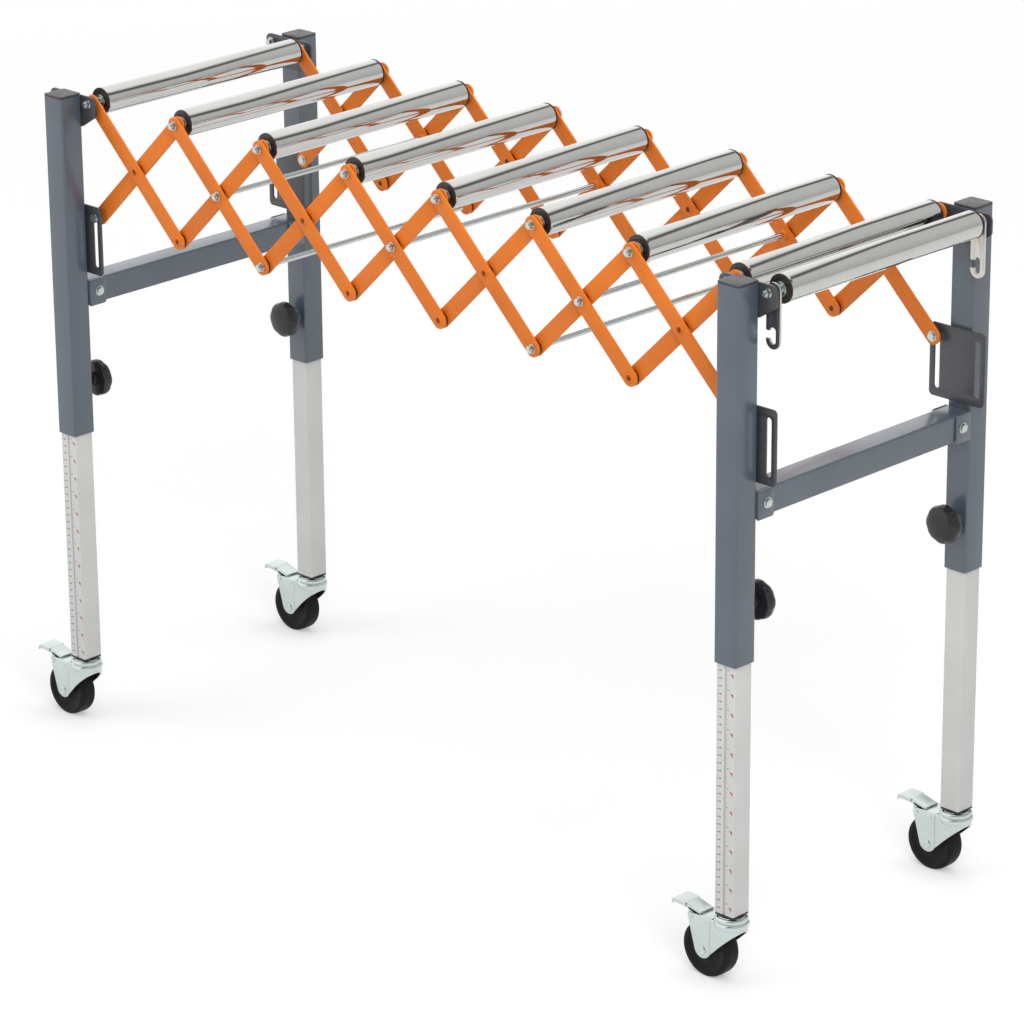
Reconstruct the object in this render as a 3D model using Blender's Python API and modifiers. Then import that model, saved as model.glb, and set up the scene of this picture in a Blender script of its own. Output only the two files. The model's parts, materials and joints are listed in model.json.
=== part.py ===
"""Flexible roller conveyor: nine rollers on lazy tongs between two wheeled, height adjustable frames.

X runs along the rollers' path, Y across it and Z up. The origin is on the floor, under the middle of the
whole object. Near is the -Y side, far the +Y side. Sizes are in millimetres and become metres in part().
"""

import math

import bmesh
import bpy
from mathutils import Matrix, Vector

MM = 0.001
GAP = 0.3  # between pieces that touch
EMBED = 1.1  # how far a welded piece runs into another
PIN_PLAY = 0.35  # between a pin and its hole

# tongs
UNITS = 7
BAR_SPAN = 226.0  # between a bar's end pivots
BAR_ANGLE = 44.2  # above level, drawn out
FOLDED_ANGLE = 79.5
BAR_WIDTH = 22.0
BAR_THICK = 3.0
BAR_SPACE = 3.0  # between the two layers of bars
PIN_R = 4.0
HEAD_R = 6.5
HEAD_H = 6.5
RIVET_UP = 0.6  # a riveted pin stands proud of its bar
RODS_MID = (2, 4, 6)  # bars with a tie rod at the middle pivot
RODS_LOW = (2, 5)  # and at the lower pivot

# rollers
ROLLER_R = 18.0
ROLLER_HALF = 175.0
ROLLER_WALL = 1.5
END_DEPTH = 12.0
HUB_R = 9.5
HUB_H = 4.5
LAYER_PLAY = 1.0  # hub to inner bar, and outer bar to slot plate

# frames
AXIS_Z = 883.0  # roller axes above the floor
POST = 35.0
POST_WALL = 2.0
POST_ROUND = 3.0
POST_ABOVE = 13.0  # top of a post above the roller axes
CAP_H = 3.0
HOLE_OFF = 14.0  # bracket holes and slots from the post's side
PLATE = 3.0
BRACKET_EDGE = 13.5  # bracket beyond its holes
BRACKET_UP = 10.0
BRACKET_SIDE = 16.0
BRACKET_DOWN = 34.0
BRACKET_ROUND = 9.0
SLOT_PLATE = 2.5
SLOT_ROUND = 6.0
SLOT_R = 4.2
SLOT_PIN_R = 3.7
SLOT_HEAD_H = 4.0
SLOT_SIDE = 7.3  # metal beside the slots
SLOT_EDGE = 11.0  # and beyond their ends
SLOT_PLAY = 0.4
SLOT_OFF = 3.5  # slot plate to post
TAB_WIDTH = 18.0
TAB_HIGH = 8.0
TAB_IN = 12.0
LUG_THICK = 2.3
LUG_IN = 28.0
LUG_OVER = 1.5  # lug above and below the cross bar
LUG_OFF = 7.9  # slot plate to lug
LUG_ROUND = 4.0
CROSS_WALL = 2.0
CROSS_ROUND = 2.5
BOLT_R = 7.0
BOLT_H = 4.0
BOLT_IN = 16.0
STUD_IN = 13.0
NUT_H = 4.0

# legs and knobs
LEG_PLAY = 0.5
LEG_WALL = 1.5
LEG_ROUND = 2.0
LEG_IN = 140.0  # leg inside the post
PLUG_H = 11.5
KNOB_OFF = 129.6  # knob below the cross bar
KNOB_UP = 67.5  # and above the post's lower end
KNOB_R = 24.4
KNOB_LOBE = 1.2
KNOB_LOBES = 8
KNOB_H = 19.0
KNOB_OUT = 16.0  # free screw between the post and the knob
COLLAR_R = 9.0
COLLAR_H = 6.0
BOSS_R = 8.0
BOSS_H = 3.0
SCREW_R = 4.0

# casters
WHEEL_R = 36.5
WHEEL_W = 24.0
WHEEL_ROUND = 3.0
WHEEL_HUB_R = 9.0
WHEEL_HUB = 1.2
WHEEL_SIDES = 16
TRAIL = 33.3
FORK_PLAY = 0.8
FORK_WALL = 2.5
FORK_EYE = 11.0
FORK_REAR = 25.0  # cheeks behind the axle
FORK_TUCK = 3.5
FORK_NOSE = 17.0  # cheeks ahead of the king pin
REAR_DROP = 11.0
NOSE_DROP = 5.0
AXLE_HEAD_R = 6.0
AXLE_HEAD_H = 2.0
CROWN_CLEAR = 5.0
CROWN_H = 3.3
CROWN_EDGE = 1.5
CROWN_REAR = 8.0
CUP_R = 22.5
CUP_H = 4.0
RACE_R = 21.5
RACE_H = 5.9
KING_R = 5.0
KING_UP = 7.5
LEVER_PIN_R = 2.5
LEVER_BACK = 19.0  # lever's pin behind the axle
LEVER_DROP = 1.5
LEVER_PLAY = 1.0
LEVER_T = 2.5
LEVER_CLEAR = 3.0
LEVER_ROOT = 12.0  # tongue ahead of its pin
LEVER_BEND = 24.0  # and behind it
LEVER_TIP = 37.4
LEVER_RISE = 6.0
LEVER_DIP = 9.0
LEVER_EAR = 5.0

# hooks
HOOK_HALF = 10.5
HOOK_T = 3.0
HOOK_LONG = 60.0  # from the axle to the middle of the bend
HOOK_OFF = 5.5  # hook to roller hub
THROAT_R = 4.5
THROAT_LONG = 11.5
MOUTH = 10.0

# derived places
PITCH = BAR_SPAN * math.cos(math.radians(BAR_ANGLE))
RISE = BAR_SPAN * math.sin(math.radians(BAR_ANGLE))
RISE_FOLDED = BAR_SPAN * math.sin(math.radians(FOLDED_ANGLE))
HUB_Y = ROLLER_HALF + HUB_H
IN_0 = HUB_Y + LAYER_PLAY
IN_1 = IN_0 + BAR_THICK
OUT_0 = IN_1 + BAR_SPACE
OUT_1 = OUT_0 + BAR_THICK
SLOT_0 = OUT_1 + LAYER_PLAY
SLOT_1 = SLOT_0 + SLOT_PLATE
FACE = SLOT_1 + SLOT_OFF  # inner face of a post
BRACKET_1 = FACE + GAP  # a shallow weld keeps its back nearly flush
BRACKET_0 = BRACKET_1 - PLATE
POST_Y = FACE + POST / 2
HOLE_OUT = POST / 2 + HOLE_OFF
CROSS = POST  # cross bars are cut from the tube of the posts
LUG_OUT = CROSS / 2 + GAP + LUG_THICK
LEG = POST - 2 * POST_WALL - 2 * LEG_PLAY
SLOT_TOP = AXIS_Z - RISE + SLOT_EDGE + SLOT_R
SLOT_LOW = AXIS_Z - RISE_FOLDED - SLOT_EDGE - SLOT_R
LUG_Z = SLOT_LOW - LUG_OFF - LUG_OVER - CROSS / 2
KNOB_Z = LUG_Z - KNOB_OFF
POST_TOP = AXIS_Z + POST_ABOVE
POST_LOW = KNOB_Z - KNOB_UP
FORK_IN = WHEEL_W / 2 + WHEEL_HUB + FORK_PLAY
FORK_OUT = FORK_IN + FORK_WALL
CROWN_LOW = 2 * WHEEL_R + CROWN_CLEAR
CROWN_TOP = CROWN_LOW + CROWN_H
RACE_TOP = CROWN_TOP + CUP_H + RACE_H
LEG_LOW = RACE_TOP + GAP
LEG_TOP = POST_LOW + LEG_IN
LEVER_REACH = TRAIL + LEVER_BACK + LEVER_TIP
RIGHT_REACH = 2 * HOLE_OUT + ROLLER_R
LEFT_REACH = HOLE_OUT + LEVER_REACH
FIRST_X = -UNITS * PITCH / 2 + (LEFT_REACH - RIGHT_REACH) / 2
LAST_X = FIRST_X + UNITS * PITCH
LEFT_X = FIRST_X - HOLE_OUT
RIGHT_X = LAST_X + HOLE_OUT
END_X = RIGHT_X + HOLE_OUT
NEAR, FAR = -1, 1

FACING = {
    "X": Matrix(((0, 0, 1, 0), (1, 0, 0, 0), (0, 1, 0, 0), (0, 0, 0, 1))),
    "Y": Matrix(((1, 0, 0, 0), (0, 0, 1, 0), (0, 1, 0, 0), (0, 0, 0, 1))),
    "Z": Matrix.Identity(4),
}

PAINTS = {
    "tongs orange": ((0.75, 0.19, 0.03), 0.0, 0.45),
    "frame grey": ((0.13, 0.15, 0.18), 0.0, 0.4),
    "leg grey": ((0.55, 0.55, 0.53), 0.3, 0.45),
    "zinc": ((0.62, 0.66, 0.68), 0.9, 0.35),
    "chrome": ((0.8, 0.8, 0.8), 1.0, 0.12),
    "rubber": ((0.03, 0.028, 0.027), 0.0, 0.6),
    "black plastic": ((0.02, 0.02, 0.02), 0.0, 0.35),
}


def start():
    """Empty the scene and make the collections."""
    for old in list(bpy.data.objects):
        bpy.data.objects.remove(old, do_unlink=True)
    made = []
    for name in ("flexible_roller_conveyor", "workpieces"):
        group = bpy.data.collections.new(name)
        bpy.context.scene.collection.children.link(group)
        made.append(group)
    return made


PARTS, WORK = start()


def added(data):
    """A new working object."""
    obj = bpy.data.objects.new("workpiece", data)
    WORK.objects.link(obj)
    return obj


def tidy(mesh, merge_flats=False):
    """Weld doubled corners, cut faces into triangles and point them outwards."""
    bm = bmesh.new()
    bm.from_mesh(mesh)
    if merge_flats:
        bmesh.ops.dissolve_limit(bm, angle_limit=math.radians(0.1), verts=bm.verts, edges=bm.edges)
    bmesh.ops.triangulate(bm, faces=bm.faces)
    bmesh.ops.remove_doubles(bm, verts=bm.verts, dist=0.002)
    bmesh.ops.dissolve_degenerate(bm, edges=bm.edges, dist=0.002)
    bmesh.ops.recalc_face_normals(bm, faces=bm.faces)
    bm.to_mesh(mesh)
    bm.free()


def settled(source, place):
    """A curve or modified object as a plain mesh object, moved to its place."""
    deps = bpy.context.evaluated_depsgraph_get()
    mesh = bpy.data.meshes.new_from_object(source.evaluated_get(deps))
    bpy.data.objects.remove(source, do_unlink=True)
    mesh.transform(place)
    tidy(mesh)
    return added(mesh)


def plate(axis, lo, hi, outline, holes=()):
    """A flat outline with holes, drawn as a filled 2D curve, from lo to hi along the axis."""
    curve = bpy.data.curves.new("outline", "CURVE")
    curve.dimensions, curve.fill_mode = "2D", "BOTH"
    curve.extrude = abs(hi - lo) / 2
    for loop in (outline, *holes):
        spline = curve.splines.new("POLY")
        spline.points.add(len(loop) - 1)
        for point, (u, v) in zip(spline.points, loop):
            point.co = (u, v, 0.0, 1.0)
        spline.use_cyclic_u = True
    return settled(added(curve), FACING[axis] @ Matrix.Translation((0, 0, (lo + hi) / 2)))


def turned(axis, centre, profile, n, turn=0.17, bored=False):
    """A profile of (place along the axis, radius) pairs carried round it by a screw."""
    ends = [] if bored else [(profile[0][0], 0.0)], [] if bored else [(profile[-1][0], 0.0)]
    points = ends[0] + list(profile) + ends[1]
    edges = [(k, k + 1) for k in range(len(points) - 1)]
    if bored:
        edges.append((len(points) - 1, 0))
    mesh = bpy.data.meshes.new("profile")
    mesh.from_pydata([(r, 0.0, w) for w, r in points], edges, [])
    obj = added(mesh)
    screw = obj.modifiers.new("turn", "SCREW")
    screw.steps = screw.render_steps = n
    screw.use_merge_vertices, screw.merge_threshold = True, 0.0001
    place = FACING[axis] @ Matrix.Translation((*centre, 0.0)) @ Matrix.Rotation(turn, 4, "Z")
    return settled(obj, place)


def block(low, high):
    """A box between two corners."""
    mesh = bpy.data.meshes.new("block")
    bm = bmesh.new()
    bmesh.ops.create_cube(bm, size=1.0)
    bm.to_mesh(mesh)
    bm.free()
    size = [b - a for a, b in zip(low, high)]
    middle = [(a + b) / 2 for a, b in zip(low, high)]
    mesh.transform(Matrix.Translation(middle) @ Matrix.Diagonal((*size, 1.0)))
    tidy(mesh)
    return added(mesh)


def arc(u, v, r, first, last, n):
    """Points along part of a circle, between two angles in degrees."""
    angles = [math.radians(first + (last - first) * k / n) for k in range(n + 1)]
    return [(u + r * math.cos(a), v + r * math.sin(a)) for a in angles]


def hole(u, v, r, n=8):
    """A drilled hole whose flats clear a round pin of radius r."""
    return arc(u, v, (r + PIN_PLAY) / math.cos(math.pi / n), 0, 360, n)[:-1]


def stadium(a, b, r, n=6):
    """A strip with round ends about two pivots."""
    along = math.degrees(math.atan2(b[1] - a[1], b[0] - a[0]))
    return arc(*b, r, along - 90, along + 90, n) + arc(*a, r, along + 90, along + 270, n)


def rounded(u0, v0, u1, v1, r, n=2):
    """A rectangle with rounded corners."""
    u0, u1 = min(u0, u1), max(u0, u1)
    corners = ((u1 - r, v1 - r), (u0 + r, v1 - r), (u0 + r, v0 + r), (u1 - r, v0 + r))
    return [p for q, at in enumerate(corners) for p in arc(*at, r, 90 * q, 90 * q + 90, n)]


def combine(body, tool, operation):
    """Apply one exact boolean and drop the tool."""
    mod = body.modifiers.new("join", "BOOLEAN")
    mod.operation, mod.solver, mod.object = operation, "EXACT", tool
    deps = bpy.context.evaluated_depsgraph_get()
    mesh = bpy.data.meshes.new_from_object(body.evaluated_get(deps))
    body.modifiers.clear()
    body.data = mesh
    tidy(mesh)
    bpy.data.objects.remove(tool, do_unlink=True)


def paint(name):
    """The material of that name, made on its first use."""
    mat = bpy.data.materials.get(name)
    if mat is None:
        colour, metal, rough = PAINTS[name]
        mat = bpy.data.materials.new(name)
        mat.use_nodes = True
        shader = mat.node_tree.nodes["Principled BSDF"]
        shader.inputs["Base Color"].default_value = (*colour, 1.0)
        shader.inputs["Metallic"].default_value = metal
        shader.inputs["Roughness"].default_value = rough
    return mat


def part(name, finish, origin, solids, cuts=()):
    """One named sub-part: its solids joined, its cuts taken out, its origin on its joint."""
    body = solids[0]
    for solid in solids[1:]:
        combine(body, solid, "UNION")
    for cut in cuts:
        combine(body, cut, "DIFFERENCE")
    tidy(body.data, merge_flats=True)
    place = Vector(origin) * MM
    body.data.transform(Matrix.Translation(-place) @ Matrix.Scale(MM, 4))
    body.data.shade_smooth()
    body.data.set_sharp_from_angle(angle=math.radians(35))
    body.location = place
    body.name = body.data.name = name
    body.data.materials.clear()
    body.data.materials.append(paint(finish))
    WORK.objects.unlink(body)
    PARTS.objects.link(body)


def top(i):
    """Upper pivot i, counted from 1 at the left."""
    return (FIRST_X + (i - 1) * PITCH, AXIS_Z)


def mid(i):
    return (FIRST_X + (i - 0.5) * PITCH, AXIS_Z - RISE / 2)


def low(i):
    return (FIRST_X + (i - 1) * PITCH, AXIS_Z - RISE)


def falling_layer(side):
    """Y of the bars that fall to the right: outside on the near side, inside on the far one."""
    return (-OUT_1, -OUT_0) if side == NEAR else (IN_0, IN_1)


def rising_layer(side):
    return (-IN_1, -IN_0) if side == NEAR else (OUT_0, OUT_1)


def headed(at, lo, hi):
    """A bolt across the conveyor with a head at each end, outside lo and hi."""
    steps = [(lo - HEAD_H, HEAD_R), (lo, HEAD_R), (lo, PIN_R)]
    steps += [(hi, PIN_R), (hi, HEAD_R), (hi + HEAD_H, HEAD_R)]
    return turned("Y", at, steps, 8)


def rivets(at):
    """Pins from the falling bars through the rising ones, near and far."""
    near = [(-OUT_0 - EMBED, PIN_R), (-IN_0 + RIVET_UP, PIN_R)]
    far = [(IN_1 - EMBED, PIN_R), (OUT_1 + RIVET_UP, PIN_R)]
    return [turned("Y", at, near, 8), turned("Y", at, far, 8)]


def slot_bolt(at, start_y, side):
    """A pin from a bar out through a slot, with a head behind the plate."""
    lip = SLOT_1 + GAP
    steps = [(lip, SLOT_PIN_R), (lip, HEAD_R), (lip + SLOT_HEAD_H, HEAD_R)]
    return turned("Y", at, [(start_y, SLOT_PIN_R)] + [(side * w, r) for w, r in steps], 8)


def falling_pair(i):
    """Near and far falling bars of one unit with the axle, rods and pins they carry."""
    solids = [
        plate("Y", *falling_layer(side), stadium(top(i), low(i + 1), BAR_WIDTH / 2)) for side in (NEAR, FAR)
    ]
    fused = (-OUT_1 + GAP, OUT_1 + GAP)  # the near head is part of the bar, the far one clears it
    reach = BRACKET_1 + GAP
    solids.append(headed(top(i), *((-reach, reach) if i == 1 else fused)))
    solids += [headed(mid(i), *fused)] if i in RODS_MID else rivets(mid(i))
    end = low(i + 1)
    if i == UNITS:
        solids.append(slot_bolt(end, -OUT_0 - EMBED, NEAR))
        solids.append(slot_bolt(end, IN_0 + EMBED, FAR))
        solids.append(turned("Y", end, [(IN_0 - HEAD_H, HEAD_R), (IN_0 + GAP, HEAD_R)], 8))
    else:
        solids += [headed(end, *fused)] if i in RODS_LOW else rivets(end)
    part(f"axle_bars_{i}", "tongs orange", (top(i)[0], 0.0, top(i)[1]), solids)


def rising_bar(i, side):
    """One rising bar, drilled for the pins of its neighbours."""
    pivots = [mid(i), top(i + 1)] + ([low(i)] if i > 1 else [])
    lo, hi = rising_layer(side)
    outline = stadium(low(i), top(i + 1), BAR_WIDTH / 2)
    solids = [plate("Y", lo, hi, outline, [hole(*at, PIN_R) for at in pivots])]
    if i == 1:
        solids.append(slot_bolt(low(1), (lo + hi) / 2, side))
    word = "near" if side == NEAR else "far"
    part(f"rising_bar_{word}_{i}", "tongs orange", (mid(i)[0], (lo + hi) / 2, mid(i)[1]), solids)


def roller(i, x):
    """Tube with end caps and hubs, open inside and turning on its axle."""
    n = 12
    bore = (PIN_R + PIN_PLAY) / math.cos(math.pi / n)
    inner = ROLLER_R - ROLLER_WALL
    half = [(ROLLER_HALF, ROLLER_R), (ROLLER_HALF, HUB_R), (HUB_Y, HUB_R)]
    half += [(HUB_Y, bore), (ROLLER_HALF - END_DEPTH, bore), (ROLLER_HALF - END_DEPTH, inner)]
    profile = half + [(-w, r) for w, r in reversed(half)]
    tube = turned("Y", (x, AXIS_Z), profile, n, turn=math.pi / 2, bored=True)
    part(f"roller_{i}", "chrome", (x, 0.0, AXIS_Z), [tube])


def bracket(x, studs):
    """Outline and holes of the plate that carries the end axles."""
    wing = BRACKET_ROUND
    up, out = AXIS_Z + BRACKET_UP, HOLE_OUT + BRACKET_EDGE
    half = arc(out - wing, up - wing, wing, 90, 0, 3)
    half += [(out, AXIS_Z - BRACKET_SIDE), (POST / 2 - EMBED, AXIS_Z - BRACKET_DOWN)]
    outline = [(x + u, v) for u, v in half] + [(x - u, v) for u, v in reversed(half)]
    drilled = [x + HOLE_OUT] if studs else [x + HOLE_OUT, x - HOLE_OUT]
    return outline, [hole(u, AXIS_Z, PIN_R) for u in drilled]


def slot_plate(x):
    """Outline and slots of the plate that guides the lower ends of the tongs."""
    half = HOLE_OUT + SLOT_R + SLOT_SIDE
    ends = (AXIS_Z - RISE_FOLDED - SLOT_PLAY, AXIS_Z - RISE + SLOT_PLAY)
    slots = [stadium((u, ends[0]), (u, ends[1]), SLOT_R, 4) for u in (x - HOLE_OUT, x + HOLE_OUT)]
    return rounded(x - half, SLOT_LOW, x + half, SLOT_TOP, SLOT_ROUND), slots


def post(word, x, side, studs):
    """Square post with bracket, slot plate, cross bar lugs and the knob's boss."""

    def across(lo, hi):
        return sorted((side * lo, side * hi))

    y = side * POST_Y
    half, bore = POST / 2, POST / 2 - POST_WALL
    solids = [plate("Z", POST_LOW, POST_TOP, rounded(x - half, y - half, x + half, y + half, POST_ROUND))]
    solids.append(plate("Y", *across(BRACKET_0, BRACKET_1), *bracket(x, studs)))
    solids.append(plate("Y", *across(SLOT_0, SLOT_1), *slot_plate(x)))
    lo, hi = across(SLOT_1 - EMBED, FACE + EMBED)
    for z in (SLOT_TOP - TAB_IN, SLOT_LOW + TAB_IN):
        wide, high = TAB_WIDTH / 2, TAB_HIGH / 2
        solids.append(block((x - wide, lo, z - high), (x + wide, hi, z + high)))
    free, root = side * (FACE - LUG_IN + LUG_ROUND), side * FACE
    tall = CROSS / 2 + LUG_OVER
    cheek = [(root, LUG_Z - tall), (root, LUG_Z + tall)]
    cheek += arc(free, LUG_Z + tall - LUG_ROUND, LUG_ROUND, 90, 90 + side * 90, 3)
    cheek += arc(free, LUG_Z - tall + LUG_ROUND, LUG_ROUND, 90 + side * 90, 90 + side * 180, 3)
    lo, hi = across(FACE - LUG_THICK, FACE + GAP)
    wide, high = LUG_OUT - EMBED, tall - EMBED
    solids.append(block((x - wide, lo, LUG_Z - high), (x + wide, hi, LUG_Z + high)))
    for s in (-1, 1):
        start_x, end_x = x + s * (CROSS / 2 + GAP), x + s * LUG_OUT
        solids.append(plate("X", start_x, end_x, cheek))
        steps = [(end_x - s * EMBED, BOLT_R), (end_x + s * BOLT_H, BOLT_R * 0.8)]
        solids.append(turned("X", (side * (FACE - BOLT_IN), LUG_Z), steps, 10))
    boss = [(side * (FACE - BOSS_H), BOSS_R), (side * (FACE + EMBED), BOSS_R)]
    solids.append(turned("Y", (x, KNOB_Z), boss, 10))
    if studs:
        steps = [(FACE - STUD_IN, PIN_R), (BRACKET_0 - NUT_H, PIN_R), (BRACKET_0 - NUT_H, HEAD_R)]
        steps += [(BRACKET_1 + NUT_H, HEAD_R)]
        solids.append(turned("Y", (x - HOLE_OUT, AXIS_Z), [(side * w, r) for w, r in steps], 8))
    drill_r = (SCREW_R + PIN_PLAY) / math.cos(math.pi / 10)
    drill = [(side * (FACE - 2 * BOSS_H), drill_r), (side * POST_Y, drill_r)]
    cuts = [turned("Y", (x, KNOB_Z), drill, 10)]
    cuts.append(block((x - bore, y - bore, POST_LOW - CAP_H), (x + bore, y + bore, POST_TOP - CAP_H)))
    part(f"post_{word}", "frame grey", (x, y, POST_LOW), solids, cuts)


def cross_bar(word, x):
    """Square tube in the U-shaped lugs of a frame."""
    half, bore = CROSS / 2, CROSS / 2 - CROSS_WALL
    shell = rounded(x - half, LUG_Z - half, x + half, LUG_Z + half, CROSS_ROUND)
    inside = rounded(x - bore, LUG_Z - bore, x + bore, LUG_Z + bore, CROSS_ROUND - CROSS_WALL, 1)
    reach = FACE - LUG_THICK - GAP
    part(f"cross_bar_{word}", "frame grey", (x, 0.0, LUG_Z), [plate("Y", -reach, reach, shell, [inside])])


def leg(word, x, side):
    """Inner leg: a square tube closed by a plug that takes the caster's king pin."""
    y = side * POST_Y
    half, bore = LEG / 2, LEG / 2 - LEG_WALL
    tube = plate("Z", LEG_LOW, LEG_TOP, rounded(x - half, y - half, x + half, y + half, LEG_ROUND))
    inside = block((x - bore, y - bore, LEG_LOW + PLUG_H), (x + bore, y + bore, LEG_TOP + PLUG_H))
    socket_r = (KING_R + PIN_PLAY) / math.cos(math.pi / 10)
    socket = turned("Z", (x, y), [(LEG_LOW - KING_UP, socket_r), (LEG_LOW + KING_UP + EMBED, socket_r)], 10)
    part(f"leg_{word}", "leg grey", (x, y, LEG_LOW), [tube], [inside, socket])


def fork(word, x, y):
    """Swivel fork: crown, cheeks, cup and race, king pin and axle."""
    ax = x - TRAIL
    edge = CUP_R + CROWN_EDGE
    nose = math.degrees(math.asin(FORK_OUT / edge))
    crown = arc(x, y, edge, nose, -nose, 6)
    crown += [(ax - CROWN_REAR, y - FORK_OUT), (ax - CROWN_REAR, y + FORK_OUT)]
    rear = ax - FORK_REAR
    cheek = [(rear, CROWN_TOP), (rear + FORK_TUCK, CROWN_LOW - REAR_DROP)]
    cheek += arc(ax, WHEEL_R, FORK_EYE, 200, 332, 4)
    cheek += [(x + FORK_NOSE, CROWN_LOW - NOSE_DROP), (x + FORK_NOSE, CROWN_TOP)]
    pin = hole(ax - LEVER_BACK, CROWN_LOW - LEVER_DROP, LEVER_PIN_R)
    solids = [plate("Z", CROWN_LOW, CROWN_TOP - GAP, crown)]
    for s in (-1, 1):
        solids.append(plate("Y", y + s * FORK_IN, y + s * FORK_OUT, cheek, [pin]))
    cup_top = CROWN_TOP + CUP_H
    steps = [(CROWN_TOP - EMBED, CUP_R), (cup_top - CROWN_EDGE, CUP_R), (cup_top, RACE_R), (RACE_TOP, RACE_R)]
    steps += [(RACE_TOP, KING_R), (LEG_LOW + KING_UP, KING_R)]
    solids.append(turned("Z", (x, y), steps, 12))
    weld = FORK_OUT - GAP
    half = [(weld, PIN_R), (weld, AXLE_HEAD_R), (FORK_OUT + AXLE_HEAD_H, AXLE_HEAD_R)]
    steps = [(y - w, r) for w, r in reversed(half)] + [(y + w, r) for w, r in half]
    solids.append(turned("Y", (ax, WHEEL_R), steps, 8))
    part(f"caster_fork_{word}", "zinc", (x, y, LEG_LOW), solids)


def wheel(word, x, y):
    """Rubber wheel with hub faces and a bore, standing on a flat facet."""
    n = WHEEL_SIDES
    outer = WHEEL_R / math.cos(math.pi / n)
    bore = (PIN_R + PIN_PLAY) / math.cos(math.pi / n)
    side = WHEEL_W / 2
    half = [(side - WHEEL_ROUND, outer), (side, outer - WHEEL_ROUND), (side, WHEEL_HUB_R)]
    half += [(side + WHEEL_HUB, WHEEL_HUB_R), (side + WHEEL_HUB, bore)]
    profile = [(y + w, r) for w, r in half] + [(y - w, r) for w, r in reversed(half)]
    stand = math.radians(270 - 180 / n)
    tyre = turned("Y", (x - TRAIL, WHEEL_R), profile, n, stand, bored=True)
    part(f"caster_wheel_{word}", "rubber", (x - TRAIL, y, WHEEL_R), [tyre])


def lever(word, x, y):
    """Brake tongue: a bent strip on a pin between the fork's cheeks."""
    u, v = x - TRAIL - LEVER_BACK, CROWN_LOW - LEVER_DROP
    root, bend = CROWN_TOP + LEVER_CLEAR, CROWN_TOP + LEVER_CLEAR + LEVER_RISE
    over = [(u + LEVER_ROOT, root), (u - LEVER_BEND, bend), (u - LEVER_TIP, bend - LEVER_DIP)]
    strip = [(a, b + LEVER_T) for a, b in over] + over[:0:-1]
    ear = LEVER_EAR
    eaves = root + LEVER_RISE * (LEVER_ROOT + ear) / (LEVER_ROOT + LEVER_BEND)
    strip += [(u - ear, eaves), (u - ear, v - ear / 2), (u + ear, v - ear / 2), (u + ear, root), over[0]]
    half = FORK_IN - LEVER_PLAY
    reach = FORK_OUT - GAP
    pin = turned("Y", (u, v), [(y - reach, LEVER_PIN_R), (y + reach, LEVER_PIN_R)], 8)
    part(f"brake_lever_{word}", "zinc", (u, y, v), [plate("Y", y - half, y + half, strip), pin])


def knob(word, x, side):
    """Lobed clamping knob with its collar and screw."""
    n = 3 * KNOB_LOBES
    outline = []
    for k in range(n):
        t = 2 * math.pi * k / n
        r = KNOB_R + KNOB_LOBE * math.cos(KNOB_LOBES * t)
        outline.append((x + r * math.cos(t), KNOB_Z + r * math.sin(t)))
    back = FACE - KNOB_OUT
    tip = FACE + POST_WALL + LEG_PLAY - GAP
    grip = plate("Y", side * (back - KNOB_H), side * back, outline)
    shoulder = back + COLLAR_H
    steps = [(back - EMBED, COLLAR_R), (shoulder, COLLAR_R), (shoulder, SCREW_R), (tip, SCREW_R)]
    stem = turned("Y", (x, KNOB_Z), [(side * w, r) for w, r in steps], 10)
    part(f"knob_{word}", "black plastic", (x, side * FACE, KNOB_Z), [grip, stem])


def hook(word, side):
    """Coupling hook that hangs on the last axle, its mouth towards the frame."""
    lo, hi = sorted((side * (HUB_Y + HOOK_OFF), side * (HUB_Y + HOOK_OFF + HOOK_T)))
    bend = (END_X, AXIS_Z - HOOK_LONG)
    strip = plate("Y", lo, hi, stadium((END_X, AXIS_Z), bend, HOOK_HALF), [hole(END_X, AXIS_Z, PIN_R)])
    top_z = bend[1] + THROAT_LONG
    throat = plate("Y", lo - HOOK_T, hi + HOOK_T, stadium(bend, (END_X, top_z), THROAT_R, 4))
    mouth = block((END_X - 2 * HOOK_HALF, lo - HOOK_T, top_z - MOUTH), (END_X, hi + HOOK_T, top_z))
    part(f"hook_{word}", "zinc", (END_X, (lo + hi) / 2, AXIS_Z), [strip], [throat, mouth])


def end_axle(i, x):
    """Bolt that carries a roller between the right frame's brackets."""
    reach = BRACKET_1 + GAP
    part(f"end_axle_{i}", "zinc", (x, 0.0, AXIS_Z), [headed((x, AXIS_Z), -reach, reach)])


for unit in range(1, UNITS + 1):
    falling_pair(unit)
    for hand in (NEAR, FAR):
        rising_bar(unit, hand)
    roller(unit, top(unit)[0])
for count, place_x in ((UNITS + 1, LAST_X), (UNITS + 2, END_X)):
    roller(count, place_x)
    end_axle(count, place_x)

for end, end_x in (("left", LEFT_X), ("right", RIGHT_X)):
    cross_bar(end, end_x)
    for depth, hand in (("near", NEAR), ("far", FAR)):
        label, middle_y = f"{end}_{depth}", hand * POST_Y
        post(label, end_x, hand, end == "left")
        leg(label, end_x, hand)
        fork(label, end_x, middle_y)
        wheel(label, end_x, middle_y)
        lever(label, end_x, middle_y)
        knob(label, end_x, hand)
hook("near", NEAR)
hook("far", FAR)

bpy.data.collections.remove(WORK)
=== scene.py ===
"""Looks of an expanding roller conveyor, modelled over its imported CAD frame.

X runs along the path of the goods, Y across it away from the camera, Z up. Sizes are in metres. Most
pieces are modelled once, as a master for the near side, and copies of it go to their places.
"""

import json
from math import acos, atan2, cos, hypot, pi, radians, sin

import bmesh
import bpy
from bpy.props import FloatProperty, FloatVectorProperty, IntProperty, PointerProperty
from mathutils import Euler, Matrix, Vector


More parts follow.
